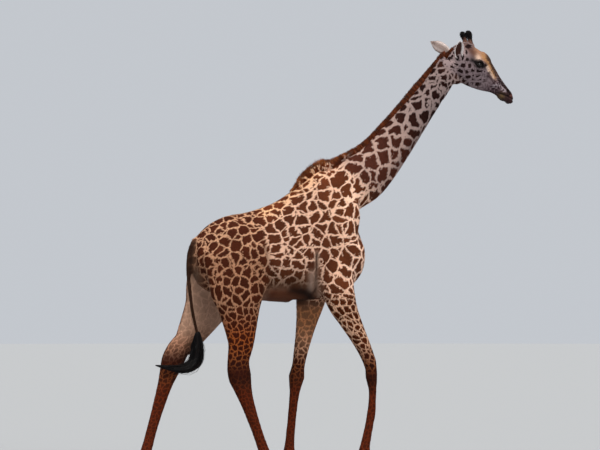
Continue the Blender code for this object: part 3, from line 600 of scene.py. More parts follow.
# The fold behind the shoulder is painted dark: partly dark skin, partly painted shade in the crease.
shoulder_fold_skin_and_shade = stripe(((-0.232, 1.90), (-0.226, 1.70), (-0.205, 1.53)), 0.016) * rise(abs(y), 0.13, 0.17)
# Painted shade in the crease where the flank meets the thigh.
groin_shade = stripe(((-0.692, 2.06), (-0.660, 1.89), (-0.637, 1.66), (-0.628, 1.56)), 0.015)
groin_shade *= rise(abs(y), 0.13, 0.17) * rise(z, 1.54, 1.62)
pale_fold = stripe(((-0.275, 1.72), (-0.262, 1.60)), 0.034) * rise(abs(y), 0.15, 0.19)
shoulder = rise(x, -0.25, 0.0) * off_leg * (1 - on_neck)
throat = rise(neck_line, 0.2, 0.5) * rise(-neck_crest, 0.10, 0.20)
high_neck = rise(neck_line, 0.25, 1.0)
muzzle = rise(ahead - 0.25 * above, 0.15, 0.26) * on_head
nose = rise(ahead - 0.25 * above, 0.24, 0.34) * on_head
blotch = np.sin(ahead * 118 + 2.2 * np.sin(above * 83 + across * 40))
blotch *= np.sin(above * 141 - across * 66 + 1.7 * np.sin(ahead * 71))
blotch += 0.4 * np.sin(ahead * 290 + 3 * np.sin(above * 240)) * np.sin(above * 330 + across * 150)
brow = rise(above, 0.030, 0.065) * rise(ahead, -0.15, -0.08) * on_head
lids = rise(lid_edge, -0.017, -0.006) * (off_eyes < EYE_REGION)

ground = coloured((
    # The back's lighter ground is painted light from above.
    # The low flank's darker ground is painted shade.
    ("d6ab90", 1.0, 1.08, 1.12, 1.18), ("f2c193", lit_back_top), ("9c7d69", low_flank_shade, 0.70, 0.65, 0.62),
    # The thigh's darker ground is partly painted shade.
    ("c3946f", hind_part, 1.10, 1.12, 1.25), ("ab7a56", thigh, 0.95, 0.98, 1.15),
    ("994f23", thigh * (1 - rise(z, 1.2, 1.5))),
    ("dcb39c", shoulder, 1.12, 1.12, 1.08), ("f8d0b6", shoulder * rise(x, -0.05, 0.10)),
    ("d7aa8c", on_leg * fore), ("8a5636", low, 0.75, 0.60, 0.45), ("62250c", shin),
    ("40200f", knees, 0.80, 0.50, 0.35),
    # The belly's band: partly its own colour, partly painted shade under the body.
    ("bf9881", inside), ("cc895c", inside * fore), ("562306", 0.92 * belly_colour_and_shade),
    # Before the thigh: painted shade in the crease.
    # Behind the shoulder: dark skin and painted shade in the fold.
    ("7d685c", behind, 0.70, 0.60, 0.50), ("2c1a13", shoulder_fold_skin_and_shade), ("3c2213", 0.6 * groin_shade),
    # Painted shadow behind the elbow.
    ("a28a7c", pale_fold, 0.90, 0.85, 0.82), ("150805", 0.95 * elbow_shadow),
    ("cbaea0", on_neck, 0.84, 0.80, 0.80), ("bda79b", on_neck * high_neck, 0.60, 0.58, 0.64),
    ("a9968c", throat * on_neck, 0.62, 0.58, 0.62),
    ("806f72", on_head), ("9d8989", on_head * (1 - rise(ahead, -0.16, -0.08))),
    ("4e3c41", muzzle), ("3a2627", nose), ("a17860", brow),
    ("56382f", 0.9 * along(((-0.165, 0.075), (-0.120, 0.062), (-0.080, 0.050)), 0.040) * on_head),
    ("dcbba6", 0.9 * spot(-0.035, 0.046, 0.027) * on_head),
    ("dfc2ae", rise(along(((0.080, 0.037), (0.126, 0.021), (0.178, 0.004)), 0.020)
                    + 0.22 * blotch, 0.30, 0.75) * on_head),
    ("a97b50", 0.92 * along(((0.0, 0.088), (0.079, 0.072), (0.131, 0.048), (0.195, 0.022)), 0.026) * on_head),
    ("3a2425", 0.8 * rise(along(((0.122, -0.004), (0.190, -0.026), (0.250, -0.030)), 0.017)
                          + 0.2 * blotch, 0.3, 0.8) * on_head),
    ("33211c", 0.92 * rise(along(((0.035, 0.120), (0.10, 0.102), (0.17, 0.068), (0.235, 0.040),
                                  (0.34, 0.014)), 0.034)
                           + 0.16 * blotch, 0.16, 0.50) * rise(ahead, 0.0, 0.05) * on_head),
    # A pale grey painted highlight along the muzzle, broken by the blotches.
    ("a5959a", 0.8 * rise(along(((0.225, -0.055), (0.262, -0.018), (0.330, -0.026)), 0.018)
                          - 0.3 * blotch, 0.35, 0.9) * on_head),
    ("241617", 0.80 * rise(blotch, 0.10, 0.45) * muzzle),
    ("867477", 0.75 * rise(-blotch, 0.20, 0.55) * muzzle * (1 - nose)),
    ("1e1315", 0.8 * along(((0.235, 0.016), (0.325, 0.0), (0.38, -0.02)), 0.015) * on_head),
    ("6b4138", 0.7 * spot(0.405, -0.030, 0.016) * on_head),
    ("453739", 0.6 * rise(blotch, 0.1, 0.6) * on_head * (1 - muzzle) * rise(-above, -0.02, 0.03)),
    ("5f4c30", 0.75 * spot(0.335, -0.080, 0.028) * on_head),
    # The mouth's line on this row is painted near-black: dark lip skin and painted shade in the groove.
    ("2c1e1f", spot(0.375, -0.105, 0.022) * on_head), ("1d1213", along(MOUTH, 0.0045) * on_head),
    # The nostril slits are painted near-black as shade inside them.
    ("140c0c", along(NOSTRIL, 0.0055) * on_head * rise(across, 0.02, 0.03)),
    ("0d0809", 0.95 * along(((-0.066, -0.004), (-0.02, 0.002), (0.052, 0.018)), 0.022) * on_head),
    # The near ear is painted lighter than the far one: painted light on the lit side.
    ("120d0e", lids), ("3a2418", on_tail), ("cfc1bd", on_ear), ("fbf1ef", on_ear * (y < 0)),
    # The far ear's downward faces are darker: painted shade.
    ("a08a80", on_ear * (y > 0) * rise(-normals[:, 2], 0.0, 0.6)),
    # The last layer here is painted shade inside the ears' hollows.
    ("6e574d", 0.70 * ear_middle * on_ear * (y > 0)), ("40261f", ear_hollow_shade),
))
leaf = coloured((
    # The back's redder leaves are painted light from above.
    ("5c3220", 1.0, 0.75, 0.65, 0.52), ("60311a", shoulder), ("6a3219", lit_back_top),
    # The low flank's darker leaves are painted shade.
    ("4b2a18", low_flank_shade, 0.72, 0.60, 0.40), ("54291a", hind_part, 0.75, 0.62, 0.48),
    ("4c2412", thigh, 0.70, 0.55, 0.40), ("47200f", thigh * (1 - rise(z, 1.2, 1.5)), 0.70, 0.45, 0.30),
    ("491d06", on_leg * fore), ("351408", low, 0.70, 0.50, 0.40), ("200a04", shin),
    ("5a4434", inside), ("482318", on_neck), ("2e1711", on_neck * high_neck, 0.60, 0.45, 0.45),
    ("281716", on_head, 0.60, 0.50, 0.50), ("1c0c07", on_tail),
))
leaf_share = 1 - belly_colour_and_shade - 0.72 * inside * (1 - 0.5 * fore) - 0.75 * behind - pale_fold * 0.8 - 0.8 * shoulder_fold_skin_and_shade
leaf_share = np.clip(leaf_share, 0.0, 1.0)
leaf_share *= ((1 - on_ear) * (1 - 0.55 * on_tail) * (1 - brow)
               * (1 - rise(ahead, 0.10, 0.17) * on_head) * (1 - lids))
leaf_share *= 1 - 0.35 * shin
off_temple = off_route(np.column_stack((ahead, above)), ((-0.09, 0.03), (0.0, 0.01)))
leaf_share *= 1 - rise(off_temple, 0.05, 0.03) * on_head
gap = 0.066 + 0.012 * on_neck + 0.060 * on_neck * high_neck + 0.150 * on_head + 0.020 * on_leg + 0.02 * low
jag = 0.65 + 0.18 * off_leg * (1 - hind_part) * (1 - on_neck) * (1 - lit_back_top) - 0.25 * hind_part
jag = jag - 0.35 * on_leg - 0.6 * on_head - 0.50 * high_neck * on_neck


def give_roots(piece, values):
    """Stores a row of values for each vertex, as an attribute that the finish reads."""
    for name, rows in values.items():
        layer = piece.data.attributes.new(name, "FLOAT_VECTOR", "POINT")
        layer.data.foreach_set("vector", np.ascontiguousarray(rows, np.float32).ravel())


plain = np.ones(len(points))
roots = {"lattice": lattice, "ground": ground, "leaf": leaf,
         "marking": np.column_stack((leaf_share, gap, jag)), "outward": normals,
         "tuft": np.column_stack((plain, 0 * plain, 0 * plain))}
give_roots(skin, roots)


# ---------------------------------------------------------------------------------------------------
# Coat finish: short dense hair with little shine and a fine grain. The leaves are cells of the lattice
# with wavering edges, cut from the rim inwards by narrow notches, as vine leaves are.
class Socket:
    """A value in a node tree, with which Python's own signs add Math nodes."""

    def __init__(self, tree, source):
        self.tree, self.source = tree, source

    def node(self, kind, settings=(), **inputs):
        """Adds a node, sets its settings first and then its inputs, and gives its outputs."""
        made = self.tree.nodes.new(kind)
        for name, value in dict(settings).items():
            setattr(made, name, value)
        for name, value in inputs.items():
            slot = made.inputs[int(name[1:])] if name[1:].isdigit() else made.inputs[name.replace("_", " ")]
            if isinstance(value, Socket):
                self.tree.links.new(value.source, slot)
            else:
                slot.default_value = value
        return made

    def out(self, made, name=0):
        return Socket(self.tree, made.outputs[name])

    def maths(self, operation, other, swapped=False, clamp=False):
        first, second = (other, self) if swapped else (self, other)
        return self.out(self.node("ShaderNodeMath", {"operation": operation, "use_clamp": clamp},
                                  i0=first, i1=second))

    def __add__(self, other):
        return self.maths("ADD", other)

    def __radd__(self, other):
        return self.maths("ADD", other, True)

    def __sub__(self, other):
        return self.maths("SUBTRACT", other)

    def __rsub__(self, other):
        return self.maths("SUBTRACT", other, True)

    def __mul__(self, other):
        return self.maths("MULTIPLY", other)

    def __rmul__(self, other):
        return self.maths("MULTIPLY", other, True)

    def __truediv__(self, other):
        return self.maths("DIVIDE", other)

    def __pow__(self, other):
        return self.maths("POWER", other)

    def clamped(self):
        return self.maths("ADD", 0.0, clamp=True)

    def step(self, start, end):
        """0 before start, 1 past end, smooth between."""
        return self.out(self.node("ShaderNodeMapRange", {"interpolation_type": "SMOOTHSTEP"},
                                  Value=self, From_Min=start, From_Max=end), "Result")

    def vector(self, operation, other=(0.0, 0.0, 0.0), scale=1.0):
        """A Vector Math node: scale is used only to scale."""
        made = self.node("ShaderNodeVectorMath", {"operation": operation}, i0=self, i1=other, i3=scale)
        return self.out(made)

    def dot(self, other):
        made = self.node("ShaderNodeVectorMath", {"operation": "DOT_PRODUCT"}, i0=self, i1=other)
        return self.out(made, "Value")

    def part(self, axis):
        split = self.node("ShaderNodeSeparateXYZ", Vector=self)
        return self.out(split, axis)

    def noise(self, scale, detail=2.0, output="Fac"):
        return self.out(self.node("ShaderNodeTexNoise", Vector=self, Scale=scale, Detail=detail), output)

    def shaded(self, shade):
        """This colour, made lighter or darker by a shade."""
        grey = self.node("ShaderNodeCombineXYZ", X=shade, Y=shade, Z=shade)
        return self.vector("MULTIPLY", self.out(grey))

    def mixed(self, other, share):
        """This colour, with a share of another laid over it."""
        return self.out(self.node("ShaderNodeMix", {"data_type": "RGBA"}, i0=share, i6=self, i7=other), 2)


def finish(name, roughness, **uniform):
    """A new finish: its tree's first socket to build from, and its surface shader."""
    material = bpy.data.materials.new(name)
    material.use_nodes = True
    tree = material.node_tree
    surface = tree.nodes["Principled BSDF"]
    surface.inputs["Roughness"].default_value = roughness
    for label, value in uniform.items():
        surface.inputs[label.replace("_", " ")].default_value = value
    return material, Socket(tree, None), surface


def stored(start, name):
    return start.out(start.node("ShaderNodeAttribute", {"attribute_name": name}), "Vector")


def here(start):
    return start.out(start.node("ShaderNodeTexCoord"), "Object")


def even_colour(start, *shares):
    """A colour that is the same everywhere, from its red, green and blue."""
    made = start.out(start.node("ShaderNodeRGB"))
    made.source.default_value = (*shares, 1.0)
    return made


def link(value, surface, name):
    value.tree.links.new(value.source, surface.inputs[name])


def bumped(start, surface, height, strength, distance):
    """Shades the surface as if the height stood out of it."""
    bump = start.node("ShaderNodeBump", Strength=strength, Distance=distance, Height=height)
    link(start.out(bump, "Normal"), surface, "Normal")


def smoothed(piece):
    """Shades a piece smooth, and leaves it the selected one."""
    only(piece)
    bpy.ops.object.shade_smooth()


def coat_colour(start):
    """Dark leaves on a pale ground, from the lattice, colours and markings stored at each root."""
    raw = stored(start, "lattice")
    marking = stored(start, "marking")
    wide = raw.noise(1.3, 1.0, "Color").vector("SUBTRACT", (0.5, 0.5, 0.5)).vector("SCALE", scale=0.50)
    fine = raw.noise(4.0, 1.0, "Color").vector("SUBTRACT", (0.5, 0.5, 0.5)).vector("SCALE", scale=0.12)
    bent = raw.vector("ADD", wide).vector("ADD", fine)
    cells, others, rims = (bent.node("ShaderNodeTexVoronoi", {"feature": feature}, Vector=bent, Scale=1.0,
                                     Randomness=0.85) for feature in ("F1", "F2", "DISTANCE_TO_EDGE"))
    rim, reach, middle = bent.out(rims, "Distance"), bent.out(cells, "Distance"), bent.out(cells, "Position")
    wall = bent.out(others, "Position").vector("SUBTRACT", middle).vector("NORMALIZE")
    slant = wall.dot(stored(start, "outward"))
    rim = rim / (1.0 - slant * slant).maths("MAXIMUM", 0.09) ** 0.5
    cell_shade = bent.out(cells, "Color")
    way = bent.vector("SUBTRACT", middle).vector("NORMALIZE")
    fan = way.vector("SCALE", scale=2.3).vector("ADD", cell_shade.vector("SCALE", scale=37.0)).noise(1.0, 1.0)
    notch = fan.step(0.55, 0.66) * reach.step(0.20, 0.45) * marking.part(2)
    waver = raw.noise(9.0, 2.0) - 0.5
    inside_leaf = rim - marking.part(1) * (1.0 + waver * 1.0) - notch * 0.26
    leaf_cover = inside_leaf.step(-0.012, 0.022) * marking.part(0)
    leaf_shade = 0.80 + cell_shade.part(0) * 0.35 + (raw.noise(7.0, 3.0) - 0.5) * 0.5
    leaf_shade = leaf_shade - reach.step(0.0, 0.5) * 0.02
    ground_shade = 0.93 + (raw.noise(4.0, 4.0) - 0.5) * 0.30
    leaf_colour = stored(start, "leaf").shaded(leaf_shade)
    return stored(start, "ground").shaded(ground_shade).mixed(leaf_colour, leaf_cover)


coat_finish, start, surface = finish("coat", 0.70, Specular_IOR_Level=0.07)
link(coat_colour(start).shaded(stored(start, "tuft").part(0)), surface, "Base Color")
grain = here(start).noise(420.0, 2.0) + here(start).noise(90.0, 3.0) * 0.8
bumped(start, surface, grain, 0.35, 0.0022)
skin.data.materials.append(coat_finish)
smoothed(skin)
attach(skin, "root")
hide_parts("head", "neck", "trunk", "tail", "ear_right", "ear_left", *LEGS)


# ---------------------------------------------------------------------------------------------------
# Eyes: large, dark and wet, as deep in the head as a giraffe's. The iris is dark brown with fine rays,
# the pupil is a wide oval that lies along the lids, and a clear cornea covers both.
eye_finish, start, surface = finish("eye", 0.05, Specular_IOR_Level=0.30)
place = stored(start, "gaze")
off_middle = ((place.part(0) * 0.62) ** 2.0 + place.part(1) ** 2.0) ** 0.5
off_iris = (place.part(0) ** 2.0 + place.part(1) ** 2.0) ** 0.5
rays = place.vector("NORMALIZE").noise(9.0, 3.0)
iris = even_colour(start, 0.014, 0.0065, 0.0035)
black = even_colour(start, 0.0015, 0.0012, 0.0012)
rim = even_colour(start, 0.010, 0.007, 0.006)
link(iris.mixed(black, (rays * 0.5).clamped()).mixed(black, 1.0 - off_middle.step(0.26, 0.33))
     .mixed(rim, off_iris.step(0.62, 0.72)), surface, "Base Color")
for side in SIGNS:
    bpy.ops.object.select_all(action="DESELECT")
    bpy.ops.mesh.primitive_uv_sphere_add(segments=48, ring_count=32, radius=EYE_RADIUS - 0.0004,
                                         location=eye_middle[side])
    eye = bpy.context.object
    eye.name = f"eyeball_{side}"
    bpy.ops.object.transform_apply(location=True, rotation=True, scale=True)
    smoothed(eye)
    gaze, slit, lid_up = eye_axes(side)
    offset = (vertex_array(eye) - np.array(eye_middle[side])) / EYE_RADIUS
    facing = offset @ gaze
    flat = np.column_stack((offset @ slit, offset @ lid_up, facing))
    bulge = 0.0012 * rise(facing, 0.70, 0.86)
    set_places(eye, vertex_array(eye) + gaze * bulge[:, None])
    give_roots(eye, {"gaze": np.where(facing[:, None] > 0, flat, flat * 9)})
    eye.data.materials.append(eye_finish)
    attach(eye, "root")
    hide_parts(f"eye_{side}")


# ---------------------------------------------------------------------------------------------------
# Ossicones: the two horns of bone under furred skin. The stalk is short-haired and flares into the
# skull, and the worn knob carries a tuft of black hairs.
HORN_VOXEL = 0.0024
horn_finish, start, surface = finish("horn_skin", 0.72, Specular_IOR_Level=0.12)
height = stored(start, "horn")
up = height.part(0)
bare = even_colour(start, 0.155, 0.072, 0.052)
dark = even_colour(start, 0.0060, 0.0045, 0.0045)
patchy = here(start).noise(120.0, 3.0)
sooted = up + (patchy - 0.5) * 0.35 + height.part(1) * 0.25 + height.part(2) * 0.34
link(bare.mixed(dark, sooted.step(0.12, 0.34)), surface, "Base Color")
furrows = here(start).vector("MULTIPLY", (1.0, 1.0, 0.25)).noise(520.0, 2.0)
bumped(start, surface, furrows, 0.5, 0.0018)
horns = {}
for side, sign in SIGNS.items():
    horn = melted(copied_nodes(f"ossicone_skin_{side}", (f"ossicone_{side}",)), HORN_VOXEL, 0.0, rounds=26)
    places = vertex_array(horn)
    low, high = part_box(f"ossicone_{side}")
    above_foot = (places[:, 2] - low.z) / (high.z - low.z)
    normal = normal_array(horn)
    foot_way = HEAD_AXES.T @ np.array((0.35, 0.0, -1.0))
    flare = rise(-above_foot, -0.30, -0.02)
    places += normal * (0.006 * flare - 0.0022 * rise(above_foot, 0.4, 0.6))[:, None]
    places += foot_way / np.linalg.norm(foot_way) * 0.012 * flare[:, None]
    places[:, 2] -= 0.010 * rise(above_foot, 0.55, 1.0)
    set_places(horn, places)
    smoothed(horn)
    inner = np.clip(-normal[:, 1] * sign, 0.0, 1.0)
    give_roots(horn, {"horn": np.column_stack((above_foot, -inner, np.maximum(normal[:, 0], 0.0)))})
    horn.data.materials.append(horn_finish)
    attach(horn, "root")
    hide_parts(f"ossicone_{side}")
    horns[side] = horn


# ---------------------------------------------------------------------------------------------------
# Hooves: two toes of dark horn on each foot, grown down from the coronet in faint rings. The walls are
# worn and dusty at the ground, and the soles stand flat.
HOOF_VOXEL = 0.0036
hoof_finish, start, surface = finish("hoof_horn", 0.45, Specular_IOR_Level=0.3)
spot_here = here(start)
level = spot_here.part(2)
rings = (level * 620.0 + spot_here.noise(25.0, 2.0) * 12.0).maths("SINE", 0.0) * 0.5 + 0.5
streaks = spot_here.vector("MULTIPLY", (1.0, 1.0, 0.10)).noise(160.0, 3.0)
horn_brown = even_colour(start, 0.034, 0.022, 0.016)
horn_pale = even_colour(start, 0.058, 0.039, 0.029)
dust = even_colour(start, 0.20, 0.125, 0.080)
worn = ((0.030 - level) * 34.0 + (spot_here.noise(70.0, 3.0) - 0.5) * 1.4).clamped()
link(horn_brown.mixed(horn_pale, (streaks.step(0.42, 0.72) * 0.6 + rings * 0.10).clamped())
     .mixed(dust, worn * 0.75), surface, "Base Color")
link((0.40 + worn * 0.35 + streaks * 0.1).clamped(), surface, "Roughness")
bumped(start, surface, rings * 0.4 + streaks, 0.25, 0.0010)
FEET = [f"hoof_{limb}_{side}" for limb in ("fore", "hind") for side in SIGNS]
for foot in FEET:
    for toe in ("inner", "outer"):
        node = f"{foot}_{toe}"
        low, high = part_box(node)
        hoof = melted(copied_nodes(f"{node}_horn", (node,)), HOOF_VOXEL, 0.0, rounds=5)
        places = vertex_array(hoof)
        up = (places[:, 2] - low.z) / (high.z - low.z)
        middle = np.array(((low.x + high.x) / 2, (low.y + high.y) / 2))
        narrow = 0.46 * rise(up, 0.10, 1.05)
        places[:, 0] -= (places[:, 0] - middle[0] + 0.012) * narrow
        places[:, 1] -= (places[:, 1] - middle[1]) * 0.75 * narrow
        past_toe = np.maximum(places[:, 0] - (high.x - 0.040), 0.0)
        places[:, 0] -= past_toe * 0.45
        places[:, 2] += 0.012 * rise(up, 0.75, 1.0)
        places[:, 2] = np.maximum(places[:, 2], low.z)
        set_places(hoof, places)
        smoothed(hoof)
        hoof.data.materials.append(hoof_finish)
        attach(hoof, "root")
        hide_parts(node)


# ---------------------------------------------------------------------------------------------------
# Strands: the one way that all standing and hanging hair is made. Each strand or tuft is a closed,
# three-sided, tapering blade, rooted a little under the skin, and many are joined in one mesh.
PATCH = 0.003                # how wide each strand's patch is on the coat's map


def strand_mesh(name, paths, widths, thickness, sides):
    """Joined blades: paths (strand, step, xyz), widths (strand, step), flat sides (strand, xyz)."""
    count, steps = paths.shape[:2]
    runs = np.gradient(paths, axis=1)
    runs /= np.maximum(np.linalg.norm(runs, axis=2), 1e-7)[:, :, None]
    side = sides[:, None, :] - runs * (runs * sides[:, None, :]).sum(axis=2)[:, :, None]
    side /= np.maximum(np.linalg.norm(side, axis=2), 1e-6)[:, :, None]
    ridge = np.cross(side, runs)
    half = widths[:, :, None] / 2
    rings = np.stack((paths - side * half, paths + ridge * half * thickness, paths + side * half), axis=2)
    body = rings[:, :-1].reshape(count, (steps - 1) * 3, 3)
    places = np.concatenate((body, paths[:, -1:]), axis=1)
    size = places.shape[1]
    corners, smooth = [], []
    for step in range(steps - 2):
        for edge in range(3):
            first, second = step * 3 + edge, step * 3 + (edge + 1) % 3
            corners += [(first, second, second + 3), (first, second + 3, first + 3)]
            smooth += [edge < 2, edge < 2]       # the flat underside is left faceted
    last = (steps - 2) * 3
    corners += [(last + edge, last + (edge + 1) % 3, size - 1) for edge in range(3)] + [(2, 1, 0)]
    smooth += [True, True, False, False]
    corners = np.array(corners)
    sample = places[0][corners]
    volume = np.einsum("ij,ij->i", sample[:, 0], np.cross(sample[:, 1], sample[:, 2])).sum()
    if volume < 0:
        corners = corners[:, ::-1]
    faces = (corners[None] + np.arange(count)[:, None, None] * size).reshape(-1, 3)
    mesh = bpy.data.meshes.new(name)
    mesh.vertices.add(count * size)
    mesh.vertices.foreach_set("co", places.astype(np.float32).ravel())
    mesh.loops.add(len(faces) * 3)
    mesh.loops.foreach_set("vertex_index", faces.astype(np.int32).ravel())
    mesh.polygons.add(len(faces))
    mesh.polygons.foreach_set("loop_start", np.arange(0, len(faces) * 3, 3, dtype=np.int32))
    mesh.polygons.foreach_set("use_smooth", np.tile(smooth, count))
    mesh.update(calc_edges=True)
    piece = bpy.data.objects.new(name, mesh)
    bpy.context.collection.objects.link(piece)
    return piece, size


def per_vertex(rows, size):
    """Repeats a row of values for every vertex of its strand."""
    return np.repeat(rows, size, axis=0)


def patched(piece, roots_uv, steps):
    """Gives each strand a small patch of the coat's map, at its root's place on the unwrapped skin."""
    along_patch = np.append(np.repeat(np.arange(steps - 1), 3), steps - 1) / (steps - 1)
    across_patch = np.append(np.tile((0.0, 0.5, 1.0), steps - 1), 0.5)
    offset = (np.column_stack((across_patch, along_patch)) - 0.5) * PATCH
    spots = (roots_uv[:, None, :] + offset[None]).reshape(-1, 2)
    corners = read_all(piece.data.loops, "vertex_index", 1, np.int32)[:, 0]
    layer = piece.data.uv_layers.new(name="OFBake")
    layer.data.foreach_set("uv", spots[corners].astype(np.float32).ravel())


def turned_about(ways, axes, angles):
    """Turns each way about its own axis, which is square to it."""
    return ways * np.cos(angles)[:, None] + np.cross(axes, ways) * np.sin(angles)[:, None]


def unit(rows):
    """Each row at a length of one."""
    return rows / np.maximum(np.linalg.norm(rows, axis=1), 1e-9)[:, None]


# ---------------------------------------------------------------------------------------------------
# Mane: a brush of stiff upright hairs along the crest, from the poll to behind the withers. A core of
# packed hair fills its middle, and separate locks stand out of it, red-brown and darker at the tips. Over
# the withers the lower part of the hairs carries on the markings of the coat.
MANE_CORE, MANE_LOCKS = 1500, 5200
MANE_SEED = 11
MANE_ROOT = 0.014            # how far below the crest the hairs start
OVERHEAD = 5.0               # a height above everything, to look down from
skin_tree = tree_of(skin)
mane_form = copied_nodes("mane_form", ("mane",))
mane_tree = tree_of(mane_form)
mane_low, mane_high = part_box("mane")
MANE_HALF = (mane_high.y - mane_low.y) / 2
stations = np.linspace(mane_low.x + 0.012, mane_high.x - 0.006, 240)
crest, crown = [], []
for station in stations:
    down, top = (tree.ray_cast(Vector((station, 0.0, OVERHEAD)), Vector((0, 0, -1)))[0]
                 for tree in (skin_tree, mane_tree))
    crest.append(down.z)
    crown.append(top.z if top else down.z + 0.02)
crest, crown = np.array(crest), np.array(crown)
bpy.data.objects.remove(mane_form)
crest = np.convolve(np.pad(crest, 4, "edge"), np.ones(9) / 9, "valid")
slope = np.gradient(crest, stations)
lean = np.column_stack((-slope, 0 * slope, np.ones(len(slope))))
lean /= np.linalg.norm(lean, axis=1)[:, None]
tall = (crown - crest) * lean[:, 2]
run_way = np.column_stack((np.ones(len(slope)), 0 * slope, slope))
run_way /= np.linalg.norm(run_way, axis=1)[:, None]
chance = np.sqrt(1 + slope ** 2)
places_along = np.cumsum(chance) - chance[0]
places_along /= places_along[-1]
rng = np.random.default_rng(MANE_SEED)


def at_station(rows, spots):
    """Values along the crest at given shares of its length."""
    index = np.interp(spots, places_along, np.arange(len(stations)))
    rows = np.asarray(rows, float).reshape(len(stations), -1)
    return np.column_stack([np.interp(index, np.arange(len(stations)), column) for column in rows.T])


def mane_strands(name, count, widths, reach, spread, sprawl):
    """Upright locks along the crest: their widths, heights as shares of the brush, and sideways spread."""
    spots = (np.arange(count) + rng.random(count)) / count
    roots_x = at_station(stations, spots)[:, 0]
    beside = rng.normal(0, 1, count).clip(-1.9, 1.9) * spread
    rise_way, forward = at_station(lean, spots), at_station(run_way, spots)
    base = np.column_stack((roots_x, beside, at_station(crest, spots)[:, 0])) - rise_way * MANE_ROOT
    tops = at_station(tall, spots)[:, 0] * (reach + 0.26 * sprawl * rng.random(count) ** 1.5)
    tops *= (1 - 0.22 * np.abs(beside) / (1.9 * spread)) * (0.26 + 0.74 * rise(spots, 0.0, 0.11))
    clump = np.sin(spots * 260.0 + 2.0 * np.sin(spots * 61.0))
    lean_back = (-0.10 + 0.14 * clump + rng.normal(0, 0.10, count)) * sprawl
    lean_out = beside / spread * 0.07 + rng.normal(0, 0.05, count)
    way = unit(rise_way + forward * lean_back[:, None] + np.array((0.0, 1.0, 0.0)) * lean_out[:, None])
    steps = np.array((0.0, 0.45, 0.80, 1.0))
    length = (tops + MANE_ROOT)[:, None]
    paths = base[:, None, :] + way[:, None, :] * (length * steps)[:, :, None]
    paths += forward[:, None, :] * (-0.10 * length * steps ** 2)[:, :, None] * sprawl
    facing = unit(forward + rng.normal(0, 0.5, (count, 3)))
    wide = widths[0] + (widths[1] - widths[0]) * rng.random(count)
    paths[:, :, 1] = np.clip(paths[:, :, 1], -MANE_HALF + 0.001, MANE_HALF - 0.001)
    piece, size = strand_mesh(name, paths, wide[:, None] * np.array((1.0, 0.85, 0.55, 0.0)), 0.7, facing)
    share = np.tile(np.append(np.repeat(steps[:-1], 3), 1.0), count)
    hue = rng.random(count)
    give_roots(piece, {"lock": np.column_stack((share, per_vertex(hue, size), per_vertex(spots, size)))})
    return piece


mane_finish, start, surface = finish("mane_hair", 0.65, Specular_IOR_Level=0.08)
lock = stored(start, "lock")
share, hue, spots_along = lock.part(0), lock.part(1), lock.part(2)
red = even_colour(start, 0.125, 0.028, 0.009)
gold = even_colour(start, 0.40, 0.120, 0.028)
sooty = even_colour(start, 0.034, 0.013, 0.008)
band = spots_along.node("ShaderNodeTexNoise", {"noise_dimensions": "1D"}, W=spots_along, Scale=26.0,
                        Detail=2.0)
band = spots_along.out(band, "Fac")
golden = (0.30 - spots_along).step(-0.05, 0.16) * 0.45 * share
golden = golden + band.step(0.50, 0.66) * 0.35 * (1.0 - spots_along.step(0.35, 0.6))
mane_colour = red.mixed(gold, (golden + (hue - 0.5) * 0.5).clamped())
sooted = (share - 0.55) * 1.0 + (hue - 0.5) * 0.8 + (0.56 - band) * 2.0
sooted = sooted + (spots_along - 0.3).maths("ABSOLUTE", 0.0) * 0.35
mane_colour = mane_colour.mixed(sooty, sooted.clamped())
low_hair = ((0.66 + (hue - 0.5) * 0.30 - share).step(-0.07, 0.07)) * (0.31 - spots_along).step(-0.05, 0.05)
link(mane_colour.mixed(coat_colour(start), low_hair), surface, "Base Color")
fibres = here(start).vector("MULTIPLY", (1.0, 1.0, 0.15)).noise(700.0, 1.0)
bumped(start, surface, fibres, 0.3, 0.001)
core = mane_strands("mane_core", MANE_CORE, (0.012, 0.020), 0.88, 0.0055, 0.25)
locks = mane_strands("mane_locks", MANE_LOCKS, (0.0022, 0.0046), 0.80, 0.0085, 1.0)
mane = joined([core, locks])
mane.name = "mane_hair"
mane_points = vertex_array(mane)
nearest = [skin_tree.find_nearest(Vector((station, 0.0, top)))[2] for station, top in zip(stations, crest)]
nearest = [skin.data.polygons[index].vertices[0] for index in nearest]
over_crest = np.column_stack((0 * mane_points[:, 0], mane_points[:, 1],
                              mane_points[:, 2] - np.interp(mane_points[:, 0], stations, crest)))
carried = {}
for name in ("lattice", "ground", "leaf", "marking"):
    rows = roots[name][nearest]
    carried[name] = np.column_stack([np.interp(mane_points[:, 0], stations, column) for column in rows.T])
carried["lattice"] += over_crest / NECK_CELLS[1][0]
carried["outward"] = np.tile((0.0, 1.0, 0.0), (len(mane_points), 1))
give_roots(mane, carried)
mane.data.materials.append(mane_finish)
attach(mane, "root")
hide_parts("mane")


# ---------------------------------------------------------------------------------------------------
# Tail tassel: long coarse black hairs that hang from the end of the tail and swing back in a curve,
# drawn together to a wisp at the tip.
TASSEL_STRANDS, TASSEL_STEPS = 1500, 11
TASSEL_SEED = 23
TASSEL_SHIFT = -0.2814
TASSEL_WAY = ((-0.869, 0.040, 1.262), (-0.869, 0.040, 1.235), (-0.868, 0.050, 1.120), (-0.890, 0.050, 1.015),
              (-0.990, 0.040, 0.960), (-1.120, 0.030, 0.970), (-1.235, 0.030, 0.990))
TASSEL_HALF = (0.012, 0.026, 0.054, 0.057, 0.040, 0.023, 0.004)
RUN_STEP = 0.05              # how far to each side of a spot its run is read
route = np.array(TASSEL_WAY) + np.array((TASSEL_SHIFT, 0.0, 0.0))


